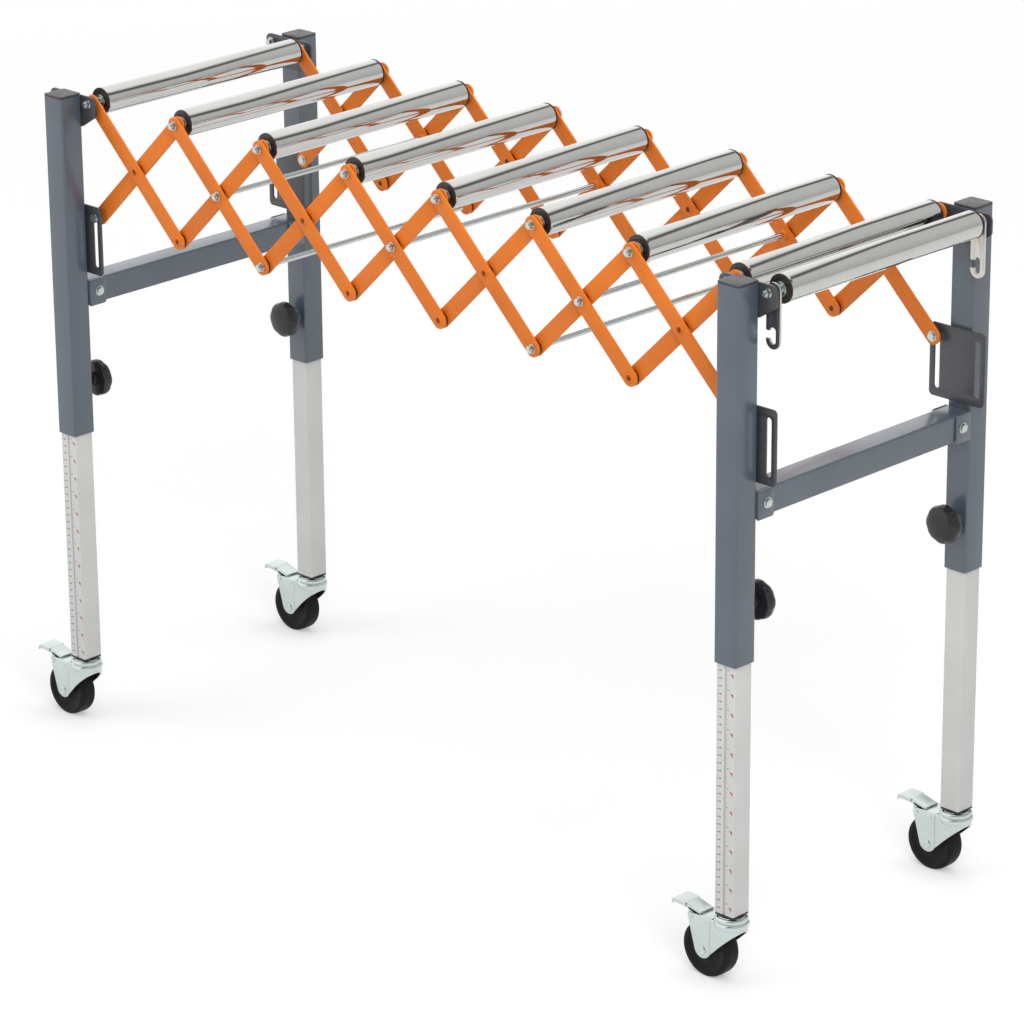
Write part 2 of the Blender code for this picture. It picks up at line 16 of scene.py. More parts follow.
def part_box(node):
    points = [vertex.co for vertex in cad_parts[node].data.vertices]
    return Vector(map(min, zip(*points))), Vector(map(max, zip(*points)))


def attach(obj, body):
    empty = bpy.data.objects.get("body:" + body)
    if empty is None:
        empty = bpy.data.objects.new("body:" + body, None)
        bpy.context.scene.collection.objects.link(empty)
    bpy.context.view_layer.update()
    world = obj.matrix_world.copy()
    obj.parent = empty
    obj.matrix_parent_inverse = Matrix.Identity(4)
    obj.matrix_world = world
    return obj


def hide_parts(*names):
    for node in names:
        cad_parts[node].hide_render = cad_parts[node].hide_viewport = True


bl_info = {
    "name": "Flexible roller conveyor",
    "version": (1, 0, 0),
    "blender": (4, 5, 0),
    "location": "View3D > Sidebar > Conveyor",
    "description": "Models the visible pieces of an expanding roller conveyor over its CAD frame",
    "category": "Object",
}

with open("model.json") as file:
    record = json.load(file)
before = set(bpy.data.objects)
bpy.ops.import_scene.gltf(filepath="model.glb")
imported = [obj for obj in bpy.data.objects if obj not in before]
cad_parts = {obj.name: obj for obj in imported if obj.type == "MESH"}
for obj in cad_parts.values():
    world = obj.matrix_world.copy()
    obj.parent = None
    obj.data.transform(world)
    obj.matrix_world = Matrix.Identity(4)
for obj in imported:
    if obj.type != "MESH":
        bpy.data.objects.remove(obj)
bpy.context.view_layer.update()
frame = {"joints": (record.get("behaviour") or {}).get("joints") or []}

# places that the CAD frame gives
PIVOT = {row["name"]: Vector(row["pos_m"]) for row in frame["joints"] if "pos_m" in row}
SWIVEL = PIVOT["caster_swivel_left_near"]
AXIS_Z = PIVOT["roller_spin_1"].z
LOW_Z = PIVOT["low_pivot_2"].z
INNER = tuple(-corner.y for corner in reversed(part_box("rising_bar_near_2")))
OUTER = tuple(corner.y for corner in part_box("rising_bar_far_2"))
POST_Y = PIVOT["caster_swivel_left_far"].y
POST_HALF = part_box("post_left_far")[1].y - POST_Y
FACE = POST_Y - POST_HALF
POST_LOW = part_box("post_left_near")[0].z
LEG_LOW = SWIVEL.z
LEG_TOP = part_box("leg_left_near")[1].z
LEG_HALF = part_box("leg_left_near")[1].y + POST_Y
CROSS_LOW, CROSS_HIGH = (corner.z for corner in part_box("cross_bar_left"))
CROSS_HALF = (CROSS_HIGH - CROSS_LOW) / 2
LUG_Z = (CROSS_LOW + CROSS_HIGH) / 2
KNOB_Z = PIVOT["knob_turn_left_near"].z
HOLE_OUT = PIVOT["roller_spin_1"].x - SWIVEL.x
HOOK_LAYER = tuple(corner.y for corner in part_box("hook_far"))
WHEEL = PIVOT["wheel_spin_left_near"] - SWIVEL + Vector((0, 0, LEG_LOW))
LEVER = PIVOT["brake_press_left_near"] - SWIVEL + Vector((0, 0, LEG_LOW))
CORNERS = {
    word: Vector((*PIVOT[f"caster_swivel_{word}"].xy, 0.0))
    for word in ("left_near", "left_far", "right_near", "right_far")
}

# what stands on them
UNITS = 7
ROD_MIDDLES = (2, 4, 6)
ROD_LOWS = (3, 6)
POST_TOP = AXIS_Z + 0.013
LID = 0.0030
LUG_WALL = 0.0026
LUG_OUT = CROSS_HALF + LUG_WALL
BRACKET = (FACE - 0.0027, FACE + 0.0003)
SLOT_LAYER = (FACE - 0.006, FACE - 0.0035)
SLOT_ENDS = (LOW_Z - 0.06505, LOW_Z + 0.0004)
SUNK = 0.0002

SIDES = (-1, 1)
ALONG = {"X": Vector((1, 0, 0)), "Y": Vector((0, 1, 0)), "Z": Vector((0, 0, 1))}
TURN = {"X": (0, pi / 2, 0), "Y": (-pi / 2, 0, 0), "Z": (0, 0, 0)}
FLAT = {"X": (1, 2, 0), "Y": (0, 2, 1), "Z": (0, 1, 2)}


def top(i):
    """Upper pivot i of the tongs, the axis of roller i."""
    return PIVOT[f"roller_spin_{i}"]


def mid(i):
    return PIVOT[f"middle_pivot_{i}"]


def low(i):
    return Vector((top(i).x, 0.0, LOW_Z))


def with_rod(i):
    """Pivots of falling bars i that a tie rod joins."""
    return ([mid(i)] if i in ROD_MIDDLES else []) + ([low(i + 1)] if i + 1 in ROD_LOWS else [])


def with_rivet(i):
    """Pivots of falling bars i that are riveted."""
    lows = [low(i + 1)] if i < UNITS and i + 1 not in ROD_LOWS else []
    return ([] if i in ROD_MIDDLES else [mid(i)]) + lows


def length(name, description, default):
    """A length of the panel."""
    return FloatProperty(name=name, description=description, default=default, unit="LENGTH")


def angle(name, description, degrees):
    """An angle of the panel."""
    return FloatProperty(name=name, description=description, default=radians(degrees), subtype="ANGLE")


def colour(name, description, default):
    """A colour of the panel."""
    return FloatVectorProperty(
        name=name, description=description, default=default, subtype="COLOR", min=0, max=1)


class ConveyorSizes(bpy.types.PropertyGroup):
    """Sizes of the visible details."""

    edge_round: length("Edge round", "Rounding of plate and sheet edges", 0.0004)
    bar_width: length("Bar width", "Width of a bar of the tongs", 0.022)
    roller_radius: length("Roller radius", "Outer radius of a roller's end caps", 0.018)
    roller_half: length("Roller half length", "Half the length of a roller", 0.175)
    cap_length: length("Cap length", "Width of the dark band at a roller's end", 0.0017)
    axle_radius: length("Axle radius", "Radius of the axles and tie rods", 0.004)
    washer_radius: length("Washer radius", "Radius of the washers on the tongs", 0.0061)
    nut_radius: length("Nut radius", "Radius to a nut's corners", 0.0054)
    nut_height: length("Nut height", "Height of a nut", 0.0048)
    rivet_radius: length("Rivet radius", "Radius of a rivet's head", 0.0064)
    knob_radius: length("Knob radius", "Radius to a clamping knob's lobes", 0.0255)
    knob_lobes: IntProperty(
        name="Knob lobes", description="Lobes of a clamping knob", default=8, min=3, max=12)
    groove_width: length("Groove width", "Groove between the scales of a leg", 0.0030)
    mark_pitch: length("Mark pitch", "Distance between the coloured marks of a leg", 0.0254)


class ConveyorColours(bpy.types.PropertyGroup):
    """Colours of the finishes."""

    tongs: colour("Tongs", "Powder coat of the tongs", (0.80, 0.198, 0.018))
    frames: colour("Frames", "Powder coat of the posts and cross bars", (0.078, 0.099, 0.127))
    plates: colour("Plates", "Darker coat of the brackets and slot plates", (0.050, 0.052, 0.060))
    lids: colour("Lids", "Plastic lids of the posts", (0.058, 0.056, 0.060))
    legs: colour("Legs", "Satin coat of the sliding legs", (0.645, 0.645, 0.63))
    scale: colour("Scale", "Printed lines of the legs' scale", (0.06, 0.06, 0.07))
    marks: colour("Marks", "Coloured marks of the legs' scale", (0.40, 0.10, 0.025))
    zinc: colour("Zinc", "Plated casters and bolts", (0.57, 0.635, 0.63))
    steel: colour("Steel", "Satin coupling hooks", (0.62, 0.61, 0.585))
    chrome: colour("Chrome", "Plated roller tubes", (0.552, 0.55, 0.535))
    caps: colour("Caps", "Plastic caps of the rollers", (0.032, 0.023, 0.020))
    rubber: colour("Rubber", "Caster wheels", (0.010, 0.009, 0.0085))
    plastic: colour("Plastic", "Knobs and plugs", (0.020, 0.020, 0.021))


class ConveyorStage(bpy.types.PropertyGroup):
    """Camera and floor."""

    azimuth: angle("Azimuth", "Camera's turn from the near side to the right", 44.597)
    elevation: angle("Elevation", "Camera's height as an angle", 20.378)
    roll: angle("Roll", "Camera's lean", -0.48)
    lens: FloatProperty(name="Lens", description="Focal length in millimetres", default=161.85, min=10.0)
    camera: FloatVectorProperty(
        name="Camera place", description="Where the camera stands", default=(3.9822, -3.9986, 2.5008),
        unit="LENGTH")
    floor: colour("Floor", "Pale floor", (0.62, 0.62, 0.62))


def sizes():
    return bpy.context.scene.conveyor_sizes


def colours():
    return bpy.context.scene.conveyor_colours


# modelling, as by hand

def focus(*objs):
    """Select these objects only; the first becomes active."""
    bpy.ops.object.select_all(action="DESELECT")
    for obj in objs:
        obj.select_set(True)
    bpy.context.view_layer.objects.active = objs[0]


def settled(obj, name):
    """Put an object's place and size into its mesh."""
    focus(obj)
    bpy.ops.object.transform_apply(location=True, rotation=True, scale=True)
    obj.name = obj.data.name = name
    return obj


def opened(obj):
    """Take one object into edit mode, all selected."""
    focus(obj)
    bpy.ops.object.mode_set(mode="EDIT")
    bpy.ops.mesh.select_all(action="SELECT")


def closed(obj):
    """Turn all faces outwards and leave edit mode."""
    bpy.ops.mesh.select_all(action="SELECT")
    bpy.ops.mesh.normals_make_consistent(inside=False)
    bpy.ops.object.mode_set(mode="OBJECT")
    return obj


def sliced(point, way):
    """In edit mode, take off all that lies beyond a plane."""
    bpy.ops.mesh.select_all(action="SELECT")
    bpy.ops.mesh.bisect(
        plane_co=point, plane_no=way.normalized(), use_fill=True, clear_outer=True, threshold=1e-6)


def slab(name, a, b):
    """A block between two opposite corners."""
    lowest, highest = (Vector([pick(pair) for pair in zip(a, b)]) for pick in (min, max))
    bpy.ops.object.select_all(action="DESELECT")
    bpy.ops.mesh.primitive_cube_add(size=1.0, location=(lowest + highest) / 2)
    obj = bpy.context.object
    obj.scale = highest - lowest
    return settled(obj, name)


def turned(name, steps, sides=48, at=(0, 0, 0), axis="Y", turn=0.0):
    """A turned solid: a disc extruded and scaled through (place along the axis, radius) steps."""
    along, at = ALONG[axis], Vector(at)
    spin = Matrix.Rotation(turn, 3, along) @ Euler(TURN[axis]).to_matrix()
    bpy.ops.object.select_all(action="DESELECT")
    bpy.ops.mesh.primitive_circle_add(
        vertices=sides, radius=steps[0][1], fill_type="NGON", location=at + along * steps[0][0],
        rotation=spin.to_euler())
    obj = settled(bpy.context.object, name)
    opened(obj)
    for (here, radius), (there, wider) in zip(steps, steps[1:]):
        bpy.ops.mesh.extrude_region_move(TRANSFORM_OT_translate={"value": along * (there - here)})
        if wider != radius:
            bpy.ops.transform.resize(value=(wider / radius,) * 3, center_override=at + along * there)
    return closed(obj)


def shares(radius, steps):
    """Steps with radii given as shares of one radius."""
    return [(place, radius * share) for place, share in steps]


def sided(side, steps):
    """Steps laid out towards the near (-1) or far (1) side."""
    return [(side * place, radius) for place, radius in steps]


def both_ways(near, far=None):
    """Steps from the near end to the far end; each half is listed from its end inwards."""
    return sided(-1, near) + (far or near)[::-1]


def shaped(obj, kind, test, tool, **options):
    """In edit mode, select the edges or faces that pass a test and use one tool on them."""
    opened(obj)
    bpy.ops.mesh.select_mode(type="EDGE" if kind == "edges" else "FACE")
    bpy.ops.mesh.select_all(action="DESELECT")
    mesh = bmesh.from_edit_mesh(obj.data)
    found = [item for item in getattr(mesh, kind) if test(item)]
    if not found:
        raise RuntimeError(f"{obj.name}: nothing to shape")
    for item in found:
        item.select_set(True)
    bmesh.update_edit_mesh(obj.data)
    tool(**options)
    bpy.ops.object.mode_set(mode="OBJECT")
    return obj


def runs(axis, where=lambda spot: True):
    """Test for edges that run along an axis, where their middle passes a test."""
    def test(edge):
        a, b = (corner.co for corner in edge.verts)
        long = (b - a).length
        return long > 1e-7 and abs((b - a).dot(ALONG[axis])) > 0.999 * long and where((a + b) / 2)
    return test


def faces_to(way):
    """Test for faces that look a way."""
    return lambda face: face.normal.dot(Vector(way)) > 0.99


def rounded(obj, axis, radius, where=lambda spot: True, segments=6):
    """Round the corners that run along an axis."""
    return shaped(
        obj, "edges", runs(axis, where), bpy.ops.mesh.bevel, offset=radius, segments=segments, affect="EDGES")


def rimmed(obj, z, radius, segments):
    """Round the edges of the flat end at one height."""
    return shaped(
        obj, "edges", lambda edge: all(abs(corner.co.z - z) < 1e-5 for corner in edge.verts),
        bpy.ops.mesh.bevel, offset=radius, segments=segments, affect="EDGES")


def modified(obj, kind, **settings):
    """Add a modifier and apply it."""
    focus(obj)
    modifier = obj.modifiers.new(kind.title(), kind)
    for key, value in settings.items():
        setattr(modifier, key, value)
    bpy.ops.object.modifier_apply(modifier=modifier.name)
    return obj


def softened(obj, width=None, segments=2, limit=32):
    """Break the sharp edges, as on any sheet or cast piece."""
    return modified(
        obj, "BEVEL", width=width or sizes().edge_round, segments=segments, limit_method="ANGLE",
        angle_limit=radians(limit))


def combined(obj, operation, *tools):
    """Cut a piece by tools, or join them to it."""
    for tool in tools:
        modified(obj, "BOOLEAN", operation=operation, solver="EXACT", object=tool)
        dropped(tool)
    return obj


def spot(axis, u, v, w):
    place = [0.0, 0.0, 0.0]
    for index, value in zip(FLAT[axis], (u, v, w)):
        place[index] = value
    return Vector(place)


def plate(name, axis, lo, hi, outline):
    """A flat plate of a convex outline: a block bisected along each side, its corners then rounded.

    The outline goes round counterclockwise as (u, v, corner radius).
    """
    us, vs = [p[0] for p in outline], [p[1] for p in outline]
    obj = slab(name, spot(axis, min(us), min(vs), lo), spot(axis, max(us), max(vs), hi))
    opened(obj)
    for (u0, v0, _), (u1, v1, _) in zip(outline, outline[1:] + outline[:1]):
        if min(abs(u1 - u0), abs(v1 - v0)) >= 1e-6:
            sliced(spot(axis, u0, v0, 0), spot(axis, v1 - v0, u0 - u1, 0))
    closed(obj)
    for u, v, radius in outline:
        if radius:
            corner = spot(axis, u, v, (lo + hi) / 2)
            rounded(obj, axis, radius, lambda at: (at - corner).length < 1e-4)
    return obj


def strip(name, a, b, lo, hi, width):
    """A flat bar with round ends about two pivots."""
    way = b - a
    half = width / 2
    obj = slab(name, (-way.length / 2 - half, lo, -half), (way.length / 2 + half, hi, half))
    rounded(obj, "Y", half * 0.999, segments=14)
    obj.rotation_euler = (0, -atan2(way.z, way.x), 0)
    obj.location = ((a.x + b.x) / 2, 0, (a.z + b.z) / 2)
    return settled(obj, name)


def swept(name, lo, hi, path, depth):
    """A bent strip across Y: the end of a block of that depth, extruded through points of (x, z)."""
    (x0, z0), (x1, z1) = path[:2]
    step = min(0.0005, hypot(x1 - x0, z1 - z0) / 2)
    obj = slab(name, (x0 - step, lo, z0 - depth), (x0, hi, z0))

    def follow():
        here = (x0 - step, z0)
        for there in path[1:]:
            move = (there[0] - here[0], 0, there[1] - here[1])
            bpy.ops.mesh.extrude_region_move(TRANSFORM_OT_translate={"value": move})
            here = there
    shaped(obj, "faces", faces_to((-1, 0, 0)), follow)
    opened(obj)
    return closed(obj)


def column(name, half, low_z, high_z, corner):
    """A square block about the near post's axis, its upright corners rounded."""
    obj = slab(name, (-half, -POST_Y - half, low_z), (half, -POST_Y + half, high_z))
    return rounded(obj, "Z", corner)


def copied(source, name, move=(0, 0, 0), mirror=False):
    """A copy with its own mesh, moved, and mirrored across the middle first where asked."""
    obj = bpy.data.objects.new(name, source.data.copy())
    obj.data.name = name
    bpy.context.scene.collection.objects.link(obj)
    place = Matrix.Translation(Vector(move))
    if mirror:
        place = place @ Matrix.Diagonal((1, -1, 1, 1))
    obj.data.transform(place)
    if mirror:
        obj.data.flip_normals()
    return obj


def at_side(master, place, distance, side, inward=False):
    """A copy of a -Y master on the near or far side, its seat at that distance from the middle."""
    return copied(master, "copy", (place.x, side * distance, place.z), (side > 0) != inward)


def on_both(master, place, distance, inward=False):
    return [at_side(master, place, distance, side, inward) for side in SIDES]


def joined(name, objs):
    """Several solids as one piece."""
    focus(*objs)
    if len(objs) > 1:
        bpy.ops.object.join()
    objs[0].name = objs[0].data.name = name
    return objs[0]


def dropped(*objs):
    for obj in objs:
        bpy.data.objects.remove(obj, do_unlink=True)


def finished(obj, name, look, body, slot, *nodes, smooth=34):
    """Name, shade and paint a piece and set it on its CAD body."""
    focus(obj)
    bpy.ops.object.shade_smooth_by_angle(angle=radians(smooth))
    obj.name = obj.data.name = name
    obj.data.materials.clear()
    obj.data.materials.append(finish(look))
    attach(obj, body)
    if nodes:
        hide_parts(*nodes)
    return obj


def at_corners(*rows, mirror=True, smooth=34):
    """Finished copies of (master, piece, look, body, slot, nodes) at the corners, far ones mirrored."""
    for word, corner in CORNERS.items():
        words = {"word": word, "end": word.split("_")[0]}
        move = (corner.x, 0, 0) if mirror else corner
        for master, piece, look, body, slot, *nodes in rows:
            obj = copied(master, piece, move, mirror and corner.y > 0)
            nodes = [f"{kind}_{word}" for kind in nodes]
            finished(obj, f"{piece}_{word}", look, body.format(**words), slot, *nodes, smooth=smooth)


# finishes

def node(tree, kind, inputs=None, **settings):
    """A shader node with its settings, its inputs set or linked."""
    made = tree.nodes.new(kind)
    for key, value in settings.items():
        setattr(made, key, value)
    for key, value in (inputs or {}).items():
        if isinstance(value, bpy.types.NodeSocket):
            tree.links.new(value, made.inputs[key])
        else:
            made.inputs[key].default_value = value
    return made


def grain(tree, where, scale, stretch=(1, 1, 1), detail=3.0):
    """Noise on the object's own coordinates, stretched where asked."""
    mapped = node(tree, "ShaderNodeMapping", {"Vector": where, "Scale": stretch}).outputs["Vector"]
    noise = node(tree, "ShaderNodeTexNoise", {"Vector": mapped, "Scale": scale, "Detail": detail})
    return noise.outputs["Fac"]


def ranged(tree, value, low_in, high_in, low_out=0.0, high_out=1.0):
    """A value taken from one range to another, and held at its ends."""
    ends = {0: value, 1: low_in, 2: high_in, 3: low_out, 4: high_out}
    return node(tree, "ShaderNodeMapRange", ends).outputs[0]


def blended(tree, share, first, second):
    """Mix two colours by a share."""
    first, second = (
        value if isinstance(value, bpy.types.NodeSocket) else (*value, 1.0) for value in (first, second))
    return node(tree, "ShaderNodeMix", {0: share, 6: first, 7: second}, data_type="RGBA").outputs[2]


def worked(tree, operation, a, b=0.0):
    return node(tree, "ShaderNodeMath", {0: a, 1: b}, operation=operation).outputs[0]


def times(tree, a, b):
    return worked(tree, "MULTIPLY", a, b)


def between(tree, value, low_end, high_end):
    """1 where a value lies between two ends."""
    return times(
        tree, worked(tree, "GREATER_THAN", value, low_end), worked(tree, "LESS_THAN", value, high_end))


def marked(tree, name):
    """A mesh attribute as a value."""
    return node(tree, "ShaderNodeAttribute", attribute_name=name).outputs["Fac"]


def material(name, metallic, specular=0.5, coat=0.0):
    """A new material with its node tree, its shader and the object's coordinates."""
    mat = bpy.data.materials.new(name)
    mat.use_nodes = True
    tree = mat.node_tree
    shader = tree.nodes["Principled BSDF"]
    settings = {
        "Metallic": metallic, "Specular IOR Level": specular, "Coat Weight": coat, "Coat Roughness": 0.2}
    for key, value in settings.items():
        shader.inputs[key].default_value = value
    where = node(tree, "ShaderNodeTexCoord").outputs["Object"]
    return mat, tree, shader, where


def shaded(tint, share, lift=0.0):
    return tuple(min(1, channel * share + lift) for channel in tint)


def emptied(owner):
    """The cleared node tree of a material or world, and the kinds of ray that meet it."""
    owner.use_nodes = True
    owner.node_tree.nodes.clear()
    return owner.node_tree, node(owner.node_tree, "ShaderNodeLightPath").outputs


def set_surface(tree, shader, base, roughness, height, strength, distance):
    """Link colour, roughness and relief to the shader."""
    relief = node(tree, "ShaderNodeBump", {"Strength": strength, "Distance": distance, "Height": height})
    tree.links.new(base, shader.inputs["Base Color"])
    tree.links.new(roughness, shader.inputs["Roughness"])
    tree.links.new(relief.outputs["Normal"], shader.inputs["Normal"])


def powder_coat(name, paint, rough, coat, specular=0.5):
    """Powder coat: a fine orange peel, uneven tone, rubbed patches and painted shade in the rivets' dimples
    and holes.
    """
    mat, tree, shader, where = material(name, 0.0, specular, coat)
    peel = grain(tree, where, 520.0, detail=2.0)
    cloud = grain(tree, where, 11.0)
    rub = grain(tree, where, 46.0, (1, 1, 0.35), 5.0)
    tone = blended(tree, ranged(tree, cloud, 0.35, 0.68), paint, shaded(paint, 0.88))
    tone = blended(tree, ranged(tree, rub, 0.64, 0.78, 0.0, 0.22), tone, shaded(paint, 1.15, 0.02))
    # painted shade where the mesh's groove mark is set: the rivets' dimples and holes
    tone = blended(tree, marked(tree, "groove"), tone, shaded(paint, 0.15))
    even = ranged(tree, cloud, 0.3, 0.7, rough - 0.05, rough + 0.05)
    roughness = worked(tree, "ADD", even, ranged(tree, rub, 0.6, 0.8, 0.0, 0.08))
    set_surface(tree, shader, tone, roughness, peel, 0.10, 0.0003)
    return mat


def plating(name, tint, low_rough, high_rough):
    """Zinc plate: bluish and warm clouds, patchy gloss and fine rubbing marks."""
    mat, tree, shader, where = material(name, 1.0)
    cloud = grain(tree, where, 34.0)
    patch = grain(tree, where, 140.0, detail=4.0)
    scuff = grain(tree, where, 700.0, (1, 1, 0.15))
    warm = (tint[0] * 0.98, tint[1] * 0.97, tint[2] * 0.93)
    base = blended(tree, ranged(tree, cloud, 0.35, 0.65), tint, warm)
    base = blended(tree, ranged(tree, patch, 0.55, 0.8, 0.0, 0.25), base, shaded(tint, 0.93))
    rough = ranged(tree, cloud, 0.3, 0.7, low_rough, high_rough)
    set_surface(tree, shader, base, rough, scuff, 0.012, 0.0001)
    return mat


def steel_dark_outside():
    """Satin steel, with the plates' dark colour and no metal on the faces marked as dark outer faces."""
    mat = plating("satin steel", colours().steel, 0.30, 0.42)
    tree = mat.node_tree
    inputs = tree.nodes["Principled BSDF"].inputs
    coated = marked(tree, "coated")
    bare = inputs["Base Color"].links[0].from_socket
    tree.links.new(blended(tree, coated, bare, colours().plates), inputs["Base Color"])
    tree.links.new(worked(tree, "SUBTRACT", 1.0, coated), inputs["Metallic"])
    return mat


def polished_chrome():
    """Chromed tube: nearly a mirror, with faint polishing lines round it."""
    mat, tree, shader, where = material("polished chrome", 1.0)
    lines = grain(tree, where, 900.0, (0.05, 1, 0.05), 2.0)
    cloud = grain(tree, where, 18.0)
    tint = colours().chrome
    base = blended(tree, ranged(tree, cloud, 0.35, 0.7), tint, shaded(tint, 0.95))
    rough = ranged(tree, cloud, 0.3, 0.7, 0.04, 0.07)
    set_surface(tree, shader, base, rough, lines, 0.02, 0.0001)
    return mat


def moulded(name, tint, low_rough, high_rough, bumps, strength, specular=0.5):
    """Moulded plastic or rubber: dull and shiny patches, dust and a fine skin."""
    mat, tree, shader, where = material(name, 0.0, specular)
    skin = grain(tree, where, bumps)
    patch = grain(tree, where, 60.0, detail=4.0)
    dust = grain(tree, where, 24.0, detail=5.0)
    base = blended(tree, ranged(tree, patch, 0.35, 0.7), tint, shaded(tint, 0.7))
    base = blended(tree, ranged(tree, dust, 0.56, 0.8, 0.0, 0.25), base, shaded(tint, 1.4, 0.008))
    rough = ranged(tree, patch, 0.3, 0.7, low_rough, high_rough)
    set_surface(tree, shader, base, rough, skin, strength, 0.0003)
    return mat


def scaled_legs():
    """Satin leg with fine drawn lines, and on its outer face a groove between two printed scales, with
    painted shade along the groove.
    """
    mat, tree, shader, where = material("satin leg", 0.1)
    paint, inch, groove_half = colours().legs, sizes().mark_pitch, sizes().groove_width * 0.52
    drawn = grain(tree, where, 800.0, (1, 1, 0.012))
    cloud = grain(tree, where, 14.0)
    print_map = node(tree, "ShaderNodeUVMap", uv_map="scale").outputs["UV"]
    across, up, _ = node(tree, "ShaderNodeSeparateXYZ", {0: print_map}).outputs

    def phase(pitch, shift):
        return worked(tree, "FLOORED_MODULO", worked(tree, "ADD", up, shift), pitch)

    def ticks(pitch, high, low_end, high_end, shift=0.0):
        rows = worked(tree, "LESS_THAN", phase(pitch, shift), high)
        return times(tree, rows, between(tree, across, low_end, high_end))

    lines = ticks(0.010, 0.0012, -0.0122, -0.0088)
    for more in (
            ticks(0.010, 0.0022, -0.0084, -0.0060), ticks(0.005, 0.0006, -0.0122, -0.0106),
            ticks(inch, 0.0011, 0.0030, 0.0062, inch / 2 - 0.006), ticks(inch / 4, 0.0005, 0.0022, 0.0036)):
        lines = worked(tree, "MAXIMUM", lines, more)
    tall, left, right = 0.0056, 0.0072, 0.0126
    slant = ranged(tree, phase(inch, -0.010), 0.0, tall, right, left)
    arrows = times(tree, ticks(inch, tall, left, right, -0.010), worked(tree, "GREATER_THAN", across, slant))
    label = worked(
        tree, "MAXIMUM", between(tree, across, -0.0138, -0.0022), between(tree, across, 0.0022, 0.0138))
    # painted shade along the cut groove of the outer face
    groove = between(tree, across, -groove_half, groove_half)
    base = blended(tree, ranged(tree, cloud, 0.35, 0.65), paint, shaded(paint, 0.95))
    base = blended(tree, ranged(tree, drawn, 0.5, 0.8, 0.0, 0.3), base, shaded(paint, 0.9))
    for area, strength, tint in (
            (label, 0.5, shaded(paint, 1.06)), (groove, 0.45, shaded(paint, 0.5)),
            (lines, 0.72, colours().scale), (arrows, 0.92, colours().marks)):
        base = blended(tree, times(tree, area, strength), base, tint)
    rough = ranged(tree, cloud, 0.3, 0.7, 0.36, 0.46)
    set_surface(tree, shader, base, rough, drawn, 0.04, 0.0002)
    return mat


FINISHES = {
    "orange": lambda: powder_coat("orange powder coat", colours().tongs, 0.40, 0.0, 0.3),
    "grey": lambda: powder_coat("grey powder coat", colours().frames, 0.34, 0.6),
    "plates": lambda: powder_coat("dark powder coat", colours().plates, 0.38, 0.2),
    "lids": lambda: moulded("post lids", colours().lids, 0.40, 0.52, 700.0, 0.10),
    "legs": scaled_legs,
    "zinc": lambda: plating("zinc plate", colours().zinc, 0.24, 0.34),
    "race": lambda: plating("bright race", colours().zinc, 0.12, 0.20),
    "hooks": steel_dark_outside,
    "bolts": lambda: plating("bright bolts", shaded(colours().zinc, 0.92), 0.18, 0.28),
    "chrome": polished_chrome,
    "caps": lambda: moulded("roller caps", colours().caps, 0.30, 0.45, 900.0, 0.05),
    "rubber": lambda: moulded("wheel rubber", colours().rubber, 0.42, 0.60, 600.0, 0.12, 0.14),
    "plastic": lambda: moulded("glossy plastic", colours().plastic, 0.16, 0.30, 900.0, 0.04, 0.4),
}
MADE = {}


def finish(look):
    """The finish of that name, made on its first use."""
    if look not in MADE:
        MADE[look] = FINISHES[look]()
    return MADE[look]


# fasteners, on the plane y = 0 and outwards along -Y

def washer(radius, thick):
    return softened(turned("washer", [(0, radius), (-thick, radius)], 40), 0.0003)


def hexagon(name, base, far, radius, crown, turn):
    """A hexagon between two planes, its corners turned off by a crown."""
    obj = turned(name, [(-base, radius), (-far, radius)], 6, turn=turn)
    return softened(combined(obj, "INTERSECT", turned("crown", crown, 48)), 0.0002)


def nut_and_washer():
    """Washer, nut and bolt end."""
    s = sizes()
    base, r, end_r = 0.0013, s.nut_radius, 0.0036
    far = base + s.nut_height
    nut = hexagon("nut", base, far, r, [(0.001, r), (-far + 0.0008, r * 1.02), (-far, r * 0.9)], 0.3)
    end = turned("bolt_end", [(-far, end_r), (-far - 0.0012, end_r), (-far - 0.0018, 0.0030)], 32)
    return joined("nut_and_washer", [washer(s.washer_radius, base), nut, end])


def bolt_head():
    """Washer and hexagon head."""
    base, far, r = 0.0009, 0.0040, 0.0059
    crown = [(0.001, r), (-0.0030, 0.0060), (-0.0036, 0.0052), (-far, 0.0040)]
    return joined("bolt_head", [washer(0.0069, base), hexagon("head", base, far, r, crown, 0.1)])


def with_painted_shade(obj, test):
    """Mark the points that get painted shade, in a rivet's dimple or hole."""
    marks = obj.data.attributes.new("groove", "FLOAT", "POINT")
    for mark, point in zip(marks.data, obj.data.vertices):
        mark.value = 1.0 if test(point.co) else 0.0
    return obj


def rivet():
    """Rivet head: a raised ring round a dimpled middle."""
    r = sizes().rivet_radius
    head = turned("rivet", shares(r, [
        (SUNK, 1), (-0.0007, 1), (-0.0013, 0.90), (-0.0016, 0.74), (-0.0016, 0.64), (-0.0007, 0.60),
        (-0.0007, 0.52), (-0.0014, 0.48), (-0.0014, 0.42), (-0.0004, 0.37), (-0.0004, 0.05)]), 40)
    softened(head, 0.0001, limit=20)
    # the dimple is painted dark as shade
    return with_painted_shade(head, lambda at: at.y > -0.0009 and hypot(at.x, at.z) < r * 0.62)


def rivet_tail():
    """Hollow end of a rivet: a rolled ring round a shallow middle painted dark as the shade of a hole."""
    r = sizes().rivet_radius
    tail = turned("tail", shares(r, [
        (SUNK, 1), (-0.0006, 1), (-0.0012, 0.90), (-0.0014, 0.76), (-0.0012, 0.60), (-0.0001, 0.50),
        (-0.0001, 0.06)]), 40)
    softened(tail, 0.0001, limit=20)
    return with_painted_shade(tail, lambda at: hypot(at.x, at.z) < r * 0.56)


